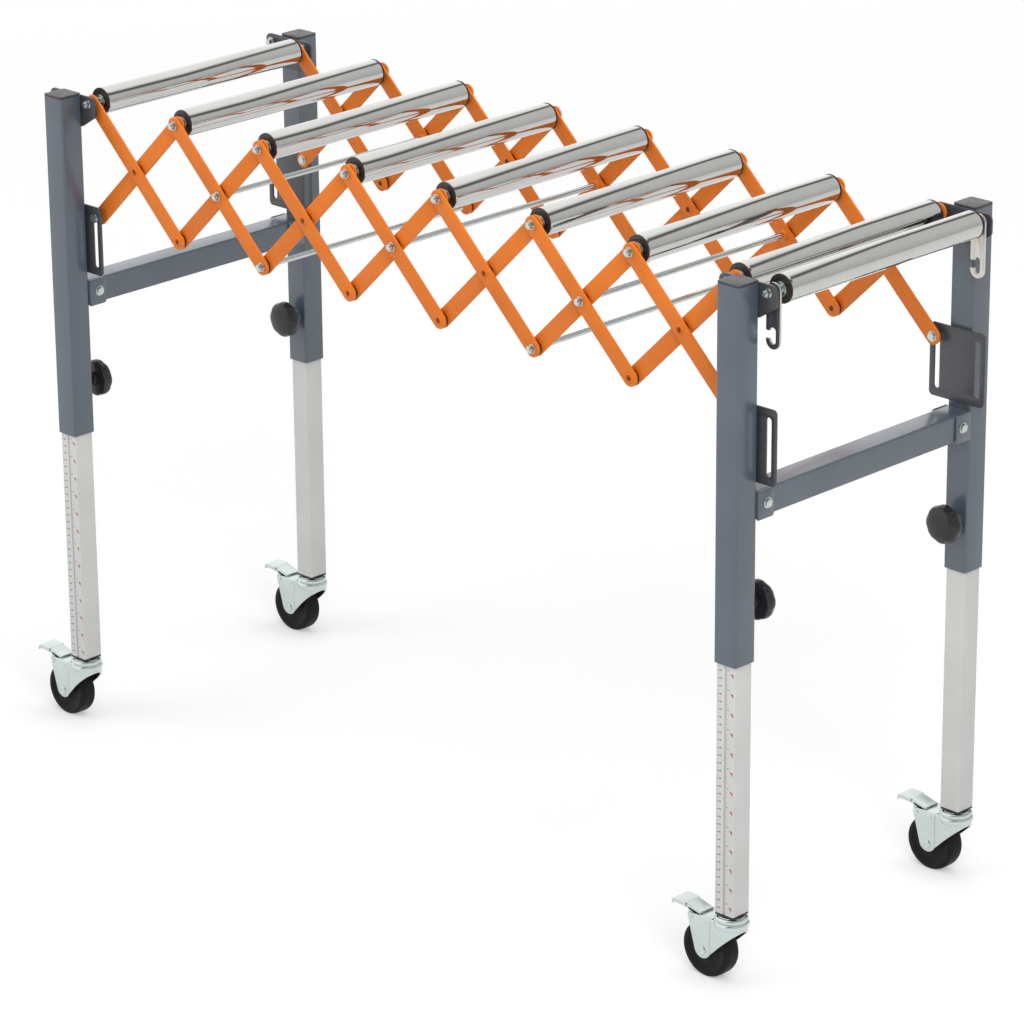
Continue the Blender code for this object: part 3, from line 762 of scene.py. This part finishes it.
def rod_boss():
    """Round boss that a tie rod ends in."""
    boss = turned("boss", [
        (SUNK, 0.0079), (-0.0008, 0.0079), (-0.0010, 0.0072), (-0.0036, 0.0070), (-0.0046, 0.0062),
        (-0.0048, 0.0040)], 40)
    return with_painted_shade(softened(boss, 0.0002, limit=25), lambda at: False)


def axle(place, near, far):
    """An axle with its sleeves and washers; near and far are (inner, outer, base) distances."""
    r, cap, seat = sizes().axle_radius, sizes().roller_half, BRACKET[0]

    def half(inner, outer, base):
        sleeve = 0.0064
        steps = [(base, r)]
        if outer < seat - 0.0005 and base > seat:
            steps += [(seat, r), (seat, sleeve), (outer, sleeve), (outer, r)]
        return steps + [
            (inner, r), (inner, 0.0060), (cap + 0.0028, 0.0060), (cap + 0.0028, 0.0086),
            (cap + 0.0014, 0.0086), (cap + 0.0014, 0.0097), (cap - 0.0013, 0.0102), (cap - 0.0013, r)]
    return turned("axle", both_ways(half(*near), half(*far)), 40, place)


# pieces

class CONVEYOR_OT_rollers(bpy.types.Operator):
    """Model the chromed roller tubes and their end caps"""

    bl_idname = "conveyor.rollers"
    bl_label = "Rollers"

    def execute(self, context):
        s = sizes()
        r, half = s.roller_radius, s.roller_half
        end = half - s.cap_length
        tube = turned("tube", both_ways(shares(r, [
            (end, 0.90), (end - 0.0006, 0.955), (end - 0.0016, 0.982), (end - 0.003, 0.988)])), 96)
        rim = shares(r, [
            (end, 0.93), (end + 0.0003, 1), (half - 0.0007, 1), (half, 0.965), (half, 0.70),
            (half - 0.0011, 0.665), (half - 0.0014, 0.56)])
        caps = joined("caps", [turned("cap", sided(side, rim), 72) for side in SIDES])
        for i in range(1, UNITS + 3):
            body = f"roller_{i}"
            finished(copied(tube, "tube", top(i)), f"roller_tube_{i}", "chrome", body, "chrome", body)
            finished(copied(caps, "caps", top(i)), f"roller_caps_{i}", "caps", body, "black_plastic")
        dropped(tube, caps)
        return {"FINISHED"}


class CONVEYOR_OT_tongs(bpy.types.Operator):
    """Model the falling and rising bars of the tongs with their rivets"""

    bl_idname = "conveyor.tongs"
    bl_label = "Tongs"

    def execute(self, context):
        falling = self.pair("falling", top(1), low(2), OUTER, INNER)
        rising = self.pair("rising", low(1), top(2), INNER, OUTER)
        with_painted_shade(falling, lambda at: False)
        head, tail, boss = rivet(), rivet_tail(), rod_boss()
        for i in range(1, UNITS + 1):
            move = top(i) - top(1)
            solids = [copied(falling, "falling", move)]
            for place in with_rivet(i):
                solids += on_both(head, place, OUTER[1]) + on_both(tail, place, INNER[0], inward=True)
            for place in with_rod(i):
                solids += on_both(boss, place, INNER[0], inward=True)
            finished(joined("falling", solids), f"falling_bars_{i}", "orange", f"falling_{i}",
                     "tongs_orange", f"axle_bars_{i}")
            finished(copied(rising, "rising", move), f"rising_bars_{i}", "orange", f"rising_{i}",
                     "tongs_orange", f"rising_bar_near_{i}", f"rising_bar_far_{i}")
        dropped(falling, rising, head, tail, boss)
        return {"FINISHED"}

    def pair(self, name, a, b, near, far):
        """Two bars between pivots, in their layers of the near and the far side."""
        layers = ((-near[1], -near[0]), far)
        width = sizes().bar_width
        return joined(name, [softened(strip(name, a, b, *layer, width)) for layer in layers])


class CONVEYOR_OT_axles(bpy.types.Operator):
    """Model the roller axles, tie rods, nuts and black spacers of the tongs; the spacers at the middle and
    low pivots are widened so their black rims stand as painted shade between the crossing bars
    """

    bl_idname = "conveyor.axles"
    bl_label = "Axles and rods"

    def execute(self, context):
        nut, head = nut_and_washer(), bolt_head()
        r, foot = sizes().axle_radius, INNER[0]
        rod = both_ways([(OUTER[1], r), (foot - 0.0044, r), (foot - 0.0060, 0.0036)])
        gap = (-OUTER[0] + SUNK, -INNER[1] - SUNK)
        # black spacer rings between the bars: the small ones are plain spacers, the wide ones reach out so
        # their black rims show as painted shade beside the crossing bars
        small, wide = (turned("spacer", [(y, radius) for y in gap], 40) for radius in (0.0078, 0.0104))
        for i in range(1, UNITS + 1):
            base = BRACKET[1] if i == 1 else OUTER[1]
            near = (OUTER[0] if i == 1 else INNER[0], OUTER[1], base)
            far = (INNER[0], INNER[1] if i == 1 else OUTER[1], base)
            solids = [axle(top(i), near, far), *on_both(nut, top(i), base)]
            for place in with_rod(i):
                solids += [turned("rod", rod, 32, place), *on_both(nut, place, OUTER[1])]
            if i == UNITS:
                solids += self.slot_bolts(head, low(UNITS + 1), OUTER, INNER)
            finished(joined("axle", solids), f"axle_and_rods_{i}", "bolts", f"falling_{i}", "zinc")
            # small spacers at the top pivots; wide ones, partly painted shade, at the middle and low pivots
            places = ([(small, top(i))] if i > 1 else []) + [(wide, mid(i))]
            places += [(wide, low(i + 1))] if i < UNITS else []
            rings = [copied(ring, "ring", place, side > 0) for ring, place in places for side in SIDES]
            finished(joined("rings", rings), f"spacers_{i}", "plastic", f"falling_{i}", "black_plastic")
        bolts = self.slot_bolts(head, low(1), INNER, OUTER)
        finished(joined("bolts", bolts), "slot_bolts_left", "bolts", "rising_1", "zinc")
        dropped(nut, head, small, wide)
        return {"FINISHED"}

    def slot_bolts(self, head, place, near, far):
        """Bolts from the lowest end pivots out through the slot plates, near and far."""
        solids = []
        guide, lip = SLOT_LAYER[0] - SUNK, SLOT_LAYER[1] + SUNK
        shank, sleeve, rim = 0.0037, 0.0055, 0.0066
        for side, (inner, outer) in zip(SIDES, (near, far)):
            pin = turned("pin", sided(side, [
                (inner, shank), (outer, shank), (outer, sleeve), (guide, sleeve), (guide, shank),
                (lip, shank), (lip, rim), (lip + 0.0010, rim), (lip + 0.0010, 0.0058),
                (lip + 0.0032, 0.0054)]), 32, place)
            solids += [pin, at_side(head, place, inner, side, inward=True)]
        return solids


class CONVEYOR_OT_frames(bpy.types.Operator):
    """Model the posts, their plates and lids, the cross bars and their bolts"""

    bl_idname = "conveyor.frames"
    bl_label = "Frames"

    def execute(self, context):
        post, plates, lid, bar = self.post(), self.plates(), self.lid(), self.cross_bar()
        at_corners(
            (post, "frame_post", "grey", "{end}_frame", "frame_grey", "post"),
            (plates, "frame_plates", "plates", "{end}_frame", "frame_grey"),
            (lid, "post_lid", "lids", "{end}_frame", "black_plastic"))
        for end in ("left", "right"):
            whole = copied(bar, "bar", (CORNERS[f"{end}_near"].x, 0, 0))
            finished(whole, f"frame_bar_{end}", "grey", f"{end}_frame", "frame_grey", f"cross_bar_{end}")
        self.bolts()
        dropped(post, plates, lid, bar)
        return {"FINISHED"}

    def post(self):
        """Near post about x = 0: a tube with the U-shaped lug of the cross bar and the knob's boss."""
        wall, roof = 0.0022, 0.012
        inside = (2 * (POST_HALF - wall)) ** 2 * 0.6
        tube = column("post", POST_HALF, POST_LOW, POST_TOP - LID, 0.003)
        shaped(tube, "faces", faces_to((0, 0, -1)), bpy.ops.mesh.inset, thickness=wall)
        shaped(tube, "faces", lambda face: face.normal.z < -0.9 and face.calc_area() > inside,
               bpy.ops.mesh.extrude_region_move,
               TRANSFORM_OT_translate={"value": (0, 0, POST_TOP - POST_LOW - roof)})
        back, reach = 0.0023, 0.028
        out, foot = LUG_OUT - 0.0011, LUG_Z - CROSS_HALF - 0.0015
        web = slab("web", (-out, -FACE - 0.0003, foot + 0.0011), (out, -FACE + back, CROSS_HIGH - 0.0004))
        solids = [tube, softened(web)]
        for s in SIDES:
            lug = slab("lug", (s * (LUG_OUT - back), -FACE, foot), (s * LUG_OUT, reach - FACE, CROSS_HIGH))
            rounded(lug, "X", 0.004, lambda at: at.y > reach / 2 - FACE)
            solids.append(softened(lug))
        boss = turned("boss", [(y - FACE, radius) for y, radius in (
            (-0.0004, 0.0092), (0.0006, 0.0090), (0.0012, 0.0080), (0.0029, 0.0078), (0.0029, 0.0048),
            (0.0010, 0.0046))], 40, (0, 0, KNOB_Z))
        return joined("post", [*solids, softened(boss, 0.0003)])

    def plates(self):
        """Near bracket and slot plate about x = 0, with the tabs that hold the slot plate."""
        out, foot = HOLE_OUT + 0.0135, 0.0164
        side, down, up = AXIS_Z - 0.016, AXIS_Z - 0.034, AXIS_Z + 0.010
        bracket = plate("bracket", "Y", -BRACKET[1], -BRACKET[0], [
            (-out, side, 0.003), (-foot, down, 0.004), (foot, down, 0.004), (out, side, 0.003),
            (out, up, 0.009), (-out, up, 0.009)])
        wide, margin, corner = HOLE_OUT + 0.0115, 0.0148, 0.006
        high, deep = SLOT_ENDS[1] + margin, SLOT_ENDS[0] - margin
        guide = plate("guide", "Y", -SLOT_LAYER[1], -SLOT_LAYER[0], [
            (-wide, deep, corner), (wide, deep, corner), (wide, high, corner), (-wide, high, corner)])
        for s in SIDES:
            ends = [Vector((s * HOLE_OUT, 0, z)) for z in SLOT_ENDS]
            slot = strip("slot", *ends, -SLOT_LAYER[1] - 0.004, -SLOT_LAYER[0] + 0.004, 0.0084)
            combined(guide, "DIFFERENCE", slot)
        solids = [softened(bracket), softened(guide, 0.0003)]
        across, tall, inlet = 0.009, 0.004, 0.0004
        for z in (high - 0.012, deep + 0.012):
            tab = slab(
                "tab", (-across, -FACE - inlet, z - tall), (across, -SLOT_LAYER[1] + inlet, z + tall))
            solids.append(softened(tab, 0.0003))
        return joined("plates", solids)

    def lid(self):
        """Near post's plastic lid about x = 0, with a neck that leaves a dark line under it."""
        inset, seam = 0.0012, POST_TOP - LID
        neck = column("neck", POST_HALF - inset, seam - inset, seam + inset, 0.002)
        lid = column("lid", POST_HALF, seam + 0.0006, POST_TOP, 0.003)
        return joined("lid", [rimmed(lid, POST_TOP, 0.0007, 3), neck])

    def cross_bar(self):
        """Square tube about x = 0 in the lugs of the posts."""
        reach = FACE - LUG_WALL
        bar = slab("bar", (-CROSS_HALF, -reach, CROSS_LOW), (CROSS_HALF, reach, CROSS_HIGH))
        rounded(bar, "Y", 0.003)
        return shaped(bar, "faces", lambda face: abs(face.normal.y) > 0.9, bpy.ops.mesh.inset,
                      thickness=0.002, use_individual=True)

    def bolts(self):
        """Lug bolts of both frames, studs of the left one, end axles of the right one."""
        head, nut = bolt_head(), nut_and_washer()
        left = self.lug_bolts(head, CORNERS["left_near"].x) + self.studs(head)
        finished(joined("bolts", left), "frame_bolts_left", "bolts", "left_frame", "zinc")
        right = self.lug_bolts(head, CORNERS["right_near"].x) + self.end_axles(nut)
        finished(joined("bolts", right), "frame_bolts_right", "bolts", "right_frame", "zinc",
                 f"end_axle_{UNITS + 1}", f"end_axle_{UNITS + 2}")
        dropped(head, nut)

    def lug_bolts(self, head, x):
        """Bolts through the lugs of one cross bar."""
        solids = []
        for s in SIDES:
            for side in SIDES:
                bolt = copied(head, "copy")
                place = Matrix.Translation((x + s * LUG_OUT, side * (FACE - 0.016), LUG_Z))
                bolt.data.transform(place @ Matrix.Rotation(s * pi / 2, 4, "Z"))
                solids.append(bolt)
        return solids

    def studs(self, head):
        """Studs for the hooks of the next conveyor, on the outer holes of the left brackets."""
        seat, base = BRACKET
        r, collar = sizes().axle_radius, 0.0062
        place = Vector((CORNERS["left_near"].x - HOLE_OUT, 0, AXIS_Z))
        steps = [(FACE - 0.013, 0.0034), (FACE - 0.0124, r), (seat - 0.0040, r), (seat - 0.0040, collar),
                 (seat, collar), (seat, r), (base, r)]
        solids = []
        for side in SIDES:
            solids += [turned("stud", sided(side, steps), 32, place), at_side(head, place, base, side)]
        return solids

    def end_axles(self, nut):
        """Axles of the two rollers between the right brackets."""
        base = BRACKET[1]
        solids = []
        for i, near, far in ((UNITS + 1, INNER, OUTER), (UNITS + 2, HOOK_LAYER, HOOK_LAYER)):
            solids += [axle(top(i), (*near, base), (*far, base)), *on_both(nut, top(i), base)]
        return solids


class CONVEYOR_OT_legs(bpy.types.Operator):
    """Model the sliding legs with their scales and plugs"""

    bl_idname = "conveyor.legs"
    bl_label = "Legs"

    def execute(self, context):
        plug_high, face = LEG_LOW + 0.0034, -POST_Y - LEG_HALF
        wide = sizes().groove_width / 2
        leg = column("leg", LEG_HALF, plug_high, LEG_TOP, 0.002)
        groove = slab(
            "groove", (-wide, face - 0.001, plug_high - 0.01), (wide, face + 0.0009, LEG_TOP + 0.01))
        softened(combined(leg, "DIFFERENCE", groove), 0.0002)
        scale = leg.data.uv_layers.new(name="scale")
        for side in leg.data.polygons:
            outer = side.normal.y < -0.9
            for corner in side.loop_indices:
                at = leg.data.vertices[leg.data.loops[corner].vertex_index].co
                scale.data[corner].uv = (at.x, at.z - LEG_LOW) if outer else (-1.0, -1.0)
        plug = column("plug", LEG_HALF - SUNK, LEG_LOW, plug_high + SUNK, 0.0018)
        rimmed(plug, LEG_LOW, 0.0008, 2)
        at_corners(
            (leg, "sliding_leg", "legs", "leg_{word}", "leg_grey", "leg"),
            (plug, "leg_plug", "plastic", "leg_{word}", "black_plastic"))
        dropped(leg, plug)
        return {"FINISHED"}


class CONVEYOR_OT_knobs(bpy.types.Operator):
    """Model the lobed clamping knobs and their screws"""

    bl_idname = "conveyor.knobs"
    bl_label = "Clamping knobs"

    def execute(self, context):
        r, lobes = sizes().knob_radius, sizes().knob_lobes
        back, axis = 0.016 - FACE, (0, 0, KNOB_Z)
        grip = turned("grip", shares(r, [(back + deep, share) for deep, share in (
            (0, 0.50), (0, 0.86), (0.0012, 0.95), (0.0040, 1), (0.0080, 1), (0.0112, 0.975), (0.0138, 0.91),
            (0.0158, 0.78), (0.0174, 0.58), (0.0184, 0.32), (0.019, 0.08))]), lobes * 12, axis)
        for spread, share in ((0.50, 0.989), (0.34, 0.987), (0.18, 0.990)):
            self.press_valleys(grip, lobes, r, spread, share)
        modified(grip, "SUBSURF", levels=1, render_levels=1)
        collar = turned("collar", [
            (back - 0.0060, 0.0078), (back - 0.0050, 0.0090), (back + 0.0006, 0.0094)], 40, axis)
        grip = joined("grip", [grip, softened(collar)])
        screw = turned("screw", self.thread(back - 0.0055, -FACE - 0.0022), 28, axis)
        at_corners((grip, "knob_grip", "plastic", "knob_{word}", "black_plastic", "knob"), smooth=50)
        at_corners((screw, "knob_screw", "bolts", "knob_{word}", "zinc"))
        dropped(grip, screw)
        return {"FINISHED"}

    def press_valleys(self, grip, lobes, r, spread, share):
        """Scale the rim in towards the axis between the lobes."""
        def valley(face):
            at = face.calc_center_median()
            turn = (atan2(at.z - KNOB_Z, at.x) / (2 * pi / lobes)) % 1.0
            return hypot(at.x, at.z - KNOB_Z) > r * 0.88 and abs(turn - 0.5) < spread / 2
        shaped(grip, "faces", valley, bpy.ops.transform.resize, value=(share, 1, share),
               center_override=(0, 0, KNOB_Z))

    def thread(self, start, end):
        """Steps of a screw with rounded ridges, from its knob to its tip."""
        pitch, core, ridge = 0.00125, 0.0035, 0.0040
        steps = [(start, 0.0037)]
        for k in range(int((start - end) / pitch)):
            at = start - k * pitch
            steps += [(at - pitch * 0.3, ridge), (at - pitch * 0.6, ridge), (at - pitch, core)]
        return steps + [(end, 0.0030)]


class CONVEYOR_OT_casters(bpy.types.Operator):
    """Model the swivel forks, wheels and brake levers of the casters"""

    bl_idname = "conveyor.casters"
    bl_label = "Casters"

    def execute(self, context):
        fork, race, wheel, lever = self.fork(), self.race(), self.wheel(), self.lever()
        at_corners(
            (fork, "swivel_fork", "zinc", "caster_fork_{word}", "zinc", "caster_fork"),
            (race, "swivel_race", "race", "caster_fork_{word}", "zinc"),
            (wheel, "rubber_wheel", "rubber", "caster_wheel_{word}", "rubber", "caster_wheel"),
            (lever, "brake_tongue", "zinc", "brake_lever_{word}", "zinc", "brake_lever"), mirror=False)
        dropped(fork, race, wheel, lever)
        return {"FINISHED"}

    def fork(self):
        """Crown, cheeks, apron, rivets and axle about the swivel's axis."""
        ax, az = WHEEL.x, WHEEL.z
        crown_low, crown_top = 2 * az + 0.0050, 2 * az + 0.0083
        inside, outside = 0.0140, 0.0165
        crease, nose = ax + 0.0125, 0.0203
        heads = [(ax + 0.005, crown_low - 0.0030, 0.0019), (LEVER.x, LEVER.z, 0.0034)]
        solids = [self.apron(crease, nose, outside, crown_low, crown_top)]
        for s in SIDES:
            cheek = plate("cheek", "Y", s * inside, s * outside, [
                (ax - 0.0215, crown_low - 0.011, 0.004), (ax - 0.0098, az - 0.0098, 0.0088),
                (ax + 0.0085, az - 0.0104, 0.0084), (crease - 0.0004, az - 0.0022, 0),
                (crease - 0.0004, crown_top, 0), (ax - 0.025, crown_top, 0.003)])
            solids.append(softened(cheek, 0.0005))
            for u, w, r in heads:
                steps = [(outside - SUNK, r), (outside + 0.0006, r), (outside + 0.0011, r * 0.6)]
                solids.append(turned("rivet", sided(s, steps), 24, (u, 0, w)))
            steps = [(outside - SUNK, 0.0058), (outside + 0.0010, 0.0058), (outside + 0.0017, 0.0048),
                     (outside + 0.0017, 0.0034), (outside + 0.0011, 0.0030)]
            solids.append(softened(turned("axle_head", sided(s, steps), 36, (ax, 0, az)), 0.0002))
        reach = inside + 0.0005
        bridge = slab("bridge", (ax - 0.008, -reach, crown_low), (crease + 0.002, reach, crown_top))
        pin = turned("axle", [(s * inside, sizes().axle_radius) for s in SIDES], 32, (ax, 0, az))
        return joined("fork", [*solids, softened(bridge), pin])

    def race(self):
        """Swivel race: a bulged ring over the fork's crown and a smaller one under the leg."""
        return softened(turned("race", [
            (-0.0034, 0.0180), (-0.0068, 0.0190), (-0.0064, 0.0202), (-0.0050, 0.0212), (-0.0032, 0.0219),
            (-0.0012, 0.0221), (0.0008, 0.0218), (0.0022, 0.0209), (0.0027, 0.0194), (0.0033, 0.0194),
            (0.0038, 0.0202), (0.0056, 0.0208), (0.0076, 0.0205), (0.0089, 0.0194), (0.0093, 0.0170),
            (0.0099, 0.0165), (0.0101, 0.0050)], 64, (0, 0, 2 * WHEEL.z + 0.0083), "Z"), 0.0002, limit=40)

    def apron(self, crease, nose, outside, crown_low, crown_top):
        """Flared front of the fork: it widens from the cheeks to the round crown and rises to the nose."""
        turn = atan2(outside, crease) - acos(nose / hypot(crease, outside))
        wall = 0.0024

        def form(name, inset, low_z, high_z):
            r = nose - inset
            u, v = r * cos(turn), r * sin(turn)
            bowl = turned(name, [(low_z, r), (high_z, r)], 72, axis="Z")
            return combined(bowl, "UNION", plate("wedge", "Z", low_z, high_z, [
                (crease, -outside + inset, 0), (u, -v, 0), (u, v, 0), (crease, outside - inset, 0)]))

        apron = form("apron", 0.0, WHEEL.z - 0.012, crown_top)
        hollow = form("hollow", wall, WHEEL.z - 0.03, crown_low)
        wide = outside - wall
        mouth = slab("mouth", (crease - 0.03, -wide, 0.0), (crease + 0.002, wide, crown_low))
        combined(apron, "DIFFERENCE", hollow, mouth)
        low_end, high_end = Vector((crease, 0, WHEEL.z - 0.0020)), Vector((nose, 0, crown_low - 0.0045))
        way = high_end - low_end
        opened(apron)
        sliced(low_end, Vector((way.z, 0, -way.x)))
        return softened(closed(apron), limit=40)

    def wheel(self):
        """Rubber tyre on a plastic core."""
        return turned("wheel", both_ways([
            (0.0130, 0.0085), (0.0124, 0.0094), (0.0112, 0.0125), (0.0106, 0.0135), (0.0106, 0.0262),
            (0.0114, 0.0275), (0.0119, 0.0300), (0.0119, 0.0334), (0.0107, 0.0354), (0.0082, 0.0363),
            (0.0040, 0.0365)]), 96, WHEEL)

    def lever(self):
        """Brake pedal: a flanged strip bent into a wider pad, with ears on the pin and a brake shoe."""
        u, v = LEVER.x, LEVER.z
        up = v + 0.0072
        neck = [(u + x, up + z) for x, z in (
            (0.012, 0), (0.004, 0.0018), (-0.004, 0.0038), (-0.0105, 0.0053), (-0.014, 0.0058))]
        pad = [(u + x, up + z) for x, z in (
            (-0.0115, 0.0057), (-0.018, 0.0064), (-0.026, 0.0067), (-0.0305, 0.0066), (-0.0328, 0.0058),
            (-0.0341, 0.0040), (-0.0346, 0.0012))]
        neck_half, pad_half, shoe_half, pin_half = 0.0116, 0.0130, 0.0097, 0.0138
        solids = [softened(swept("neck", -neck_half, neck_half, neck, 0.0020), 0.0006, 3),
                  softened(swept("pad", -pad_half, pad_half, pad, 0.0030), 0.0011, 4)]
        for s in SIDES:
            lip = swept("lip", s * 0.0108, s * 0.0135, [(x, z - 0.0003) for x, z in pad[:5]], 0.0050)
            lo, hi = s * 0.0099, s * 0.0121
            flange = swept("flange", lo, hi, [(x, z - 0.0012) for x, z in neck], 0.0046)
            ear = plate("ear", "Y", lo, hi, [
                (u - 0.0078, v - 0.0008, 0.003), (u - 0.0036, v - 0.0046, 0.003),
                (u + 0.0040, v - 0.0046, 0.003), (u + 0.0062, up - 0.001, 0), (u - 0.0078, up + 0.002, 0)])
            solids += [softened(lip, 0.0010, 3), softened(flange), softened(ear, 0.0003)]
        shoe = swept("shoe", -shoe_half, shoe_half, [
            (u - 0.002, v + 0.0012), (u - 0.0055, v - 0.0035), (u - 0.0095, v - 0.0093)], 0.0018)
        pin = turned("pin", [(s * pin_half, 0.0025) for s in SIDES], 24, LEVER)
        return joined("lever", [*solids, softened(shoe), pin])


class CONVEYOR_OT_hooks(bpy.types.Operator):
    """Model the coupling hooks on the last axle"""

    bl_idname = "conveyor.hooks"
    bl_label = "Coupling hooks"

    def execute(self, context):
        width, gap, clear = 0.021, 0.009, 0.003
        place = top(UNITS + 2)
        bend = place - Vector((0, 0, 0.060))
        gate = bend + Vector((0, 0, 0.0115))
        lo, hi = -HOOK_LAYER[1], -HOOK_LAYER[0]
        under, over = lo - clear, hi + clear
        hook = strip("hook", place, bend, lo, hi, width)
        throat = strip("throat", bend, gate, under, over, gap)
        mouth = slab("mouth", (place.x - width, under, gate.z - 0.010), (place.x, over, gate.z))
        eye = turned("eye", [(y, 0.0043) for y in (under, over)], 32, place)
        softened(combined(hook, "DIFFERENCE", throat, mouth, eye))
        # outward faces (-Y on the near master, mirrored for the far hook) are marked to render dark and not
        # metallic
        coat = hook.data.attributes.new("coated", "FLOAT", "FACE")
        for mark, face in zip(coat.data, hook.data.polygons):
            mark.value = 1.0 if face.normal.y < -0.9 else 0.0
        for word in ("near", "far"):
            body = f"hook_{word}"
            obj = copied(hook, "hook", mirror=word == "far")
            finished(obj, f"coupling_{body}", "hooks", body, "zinc", body)
        dropped(hook)
        return {"FINISHED"}


class CONVEYOR_OT_stage(bpy.types.Operator):
    """Set the floor, the soft studio light and the camera"""

    bl_idname = "conveyor.stage"
    bl_label = "Stage"

    def execute(self, context):
        self.floor(context)
        self.world(context)
        for name, place, size, power in (
                ("key", (3.0, -2.0, 3.0), 2.4, 90), ("fill", (-2.4, -2.8, 2.4), 2.6, 43),
                ("top", (0.0, 0.6, 3.6), 3.0, 51)):
            lamp = bpy.data.lights.new(name, "AREA")
            lamp.energy, lamp.size = power, size
            holder = bpy.data.objects.new(name, lamp)
            way = Vector((0, 0, 0.5)) - Vector(place)
            holder.location = place
            holder.visible_glossy = False
            holder.rotation_euler = way.to_track_quat("-Z", "Y").to_euler()
            context.scene.collection.objects.link(holder)
        self.camera(context)
        context.scene.view_settings.view_transform = "Standard"
        return {"FINISHED"}

    def floor(self, context):
        """Pale floor that keeps the shadows and fades to white for the camera."""
        bpy.ops.object.select_all(action="DESELECT")
        bpy.ops.mesh.primitive_plane_add(size=60.0)
        floor = settled(context.object, "floor")
        mat = bpy.data.materials.new("pale floor")
        tree, path = emptied(mat)
        seen = worked(tree, "MAXIMUM", path["Is Camera Ray"], path["Is Glossy Ray"])
        seen = worked(tree, "MAXIMUM", seen, path["Is Transmission Ray"])
        soft = node(tree, "ShaderNodeBsdfDiffuse", {"Color": (*context.scene.conveyor_stage.floor, 1.0)})
        place = node(tree, "ShaderNodeTexCoord").outputs["Object"]
        away = node(tree, "ShaderNodeVectorMath", {0: place}, operation="LENGTH").outputs["Value"]
        glow = node(tree, "ShaderNodeEmission", {
            "Strength": times(tree, seen, ranged(tree, away, 0.5, 4.3, 0.36, 0.605))})
        total = node(tree, "ShaderNodeAddShader", {0: soft.outputs[0], 1: glow.outputs[0]})
        node(tree, "ShaderNodeOutputMaterial", {"Surface": total.outputs[0]})
        floor.data.materials.append(mat)

    def world(self, context):
        """White for the camera, an even glow on matt surfaces, and studio panels with a seam for metal."""
        world = context.scene.world = bpy.data.worlds.new("studio")
        tree, path = emptied(world)
        way = node(tree, "ShaderNodeTexCoord").outputs["Generated"]
        x, y, z = node(tree, "ShaderNodeSeparateXYZ", {0: way}).outputs
        lean = worked(tree, "ARCTAN2", x, z)
        reach = worked(tree, "SQRT", worked(tree, "ADD", times(tree, x, x), times(tree, z, z)))

        def by_angle(value, low_in, high_in, low_out, high_out):
            return ranged(tree, value, radians(low_in), radians(high_in), low_out, high_out)

        seam_at = ranged(tree, worked(tree, "DIVIDE", y, reach), 0.80, 1.10, radians(35), radians(-27))
        off = worked(tree, "SUBTRACT", lean, seam_at)
        panels = times(tree, by_angle(off, -34, 0, 1.66, 1.02), by_angle(lean, 40, 88, 1.0, 0.80))
        seam = times(tree, by_angle(off, -20, -5, 0, 1), by_angle(off, 5, 17, 1, 0))
        panels = times(tree, panels, ranged(tree, seam, 0, 1, 1.0, 0.18))
        even = 0.60
        mirrored = times(tree, path["Is Glossy Ray"], worked(tree, "SUBTRACT", panels, even))
        level = worked(tree, "ADD", mirrored, even)
        for ray in ("Is Camera Ray", "Is Transmission Ray"):
            level = worked(tree, "MAXIMUM", level, path[ray])
        glow = node(tree, "ShaderNodeBackground", {"Strength": level})
        node(tree, "ShaderNodeOutputWorld", {"Surface": glow.outputs[0]})

    def camera(self, context):
        """Camera at the picture's viewing angle."""
        stage = context.scene.conveyor_stage
        a, e, r = stage.azimuth, stage.elevation, stage.roll
        forward = Vector((-sin(a) * cos(e), cos(a) * cos(e), -sin(e)))
        right = Vector((cos(a), sin(a), 0))
        up = right.cross(forward)
        right, up = right * cos(r) + up * sin(r), up * cos(r) - right * sin(r)
        data = bpy.data.cameras.new("camera")
        data.sensor_fit, data.sensor_width, data.lens = "HORIZONTAL", 36.0, stage.lens
        data.clip_end = 100.0
        camera = bpy.data.objects.new("camera", data)
        turn = Matrix((right, up, -forward)).transposed().to_4x4()
        camera.matrix_world = Matrix.Translation(Vector(stage.camera)) @ turn
        context.scene.collection.objects.link(camera)
        context.scene.camera = camera


class CONVEYOR_PT_panel(bpy.types.Panel):
    """Lists the conveyor's pieces, sizes and colours"""

    bl_label = "Roller conveyor"
    bl_idname = "CONVEYOR_PT_panel"
    bl_space_type = "VIEW_3D"
    bl_region_type = "UI"
    bl_category = "Conveyor"

    def draw(self, context):
        for operator in OPERATORS:
            self.layout.operator(operator.bl_idname)
        for name in GROUPS:
            group = getattr(context.scene, name)
            box = self.layout.box()
            for key in group.__annotations__:
                box.prop(group, key)


GROUPS = {
    "conveyor_sizes": ConveyorSizes,
    "conveyor_colours": ConveyorColours,
    "conveyor_stage": ConveyorStage,
}
OPERATORS = (
    CONVEYOR_OT_rollers, CONVEYOR_OT_tongs, CONVEYOR_OT_axles, CONVEYOR_OT_frames, CONVEYOR_OT_legs,
    CONVEYOR_OT_knobs, CONVEYOR_OT_casters, CONVEYOR_OT_hooks, CONVEYOR_OT_stage,
)


def register():
    for name, group in GROUPS.items():
        bpy.utils.register_class(group)
        setattr(bpy.types.Scene, name, PointerProperty(type=group))
    for cls in OPERATORS + (CONVEYOR_PT_panel,):
        bpy.utils.register_class(cls)


def unregister():
    for cls in reversed(OPERATORS + (CONVEYOR_PT_panel,)):
        bpy.utils.unregister_class(cls)
    for name, group in GROUPS.items():
        delattr(bpy.types.Scene, name)
        bpy.utils.unregister_class(group)


def main():
    register()
    for name in ("rollers", "tongs", "axles", "frames", "legs", "knobs", "casters", "hooks", "stage"):
        getattr(bpy.ops.conveyor, name)()


if __name__ == "__main__":
    main()
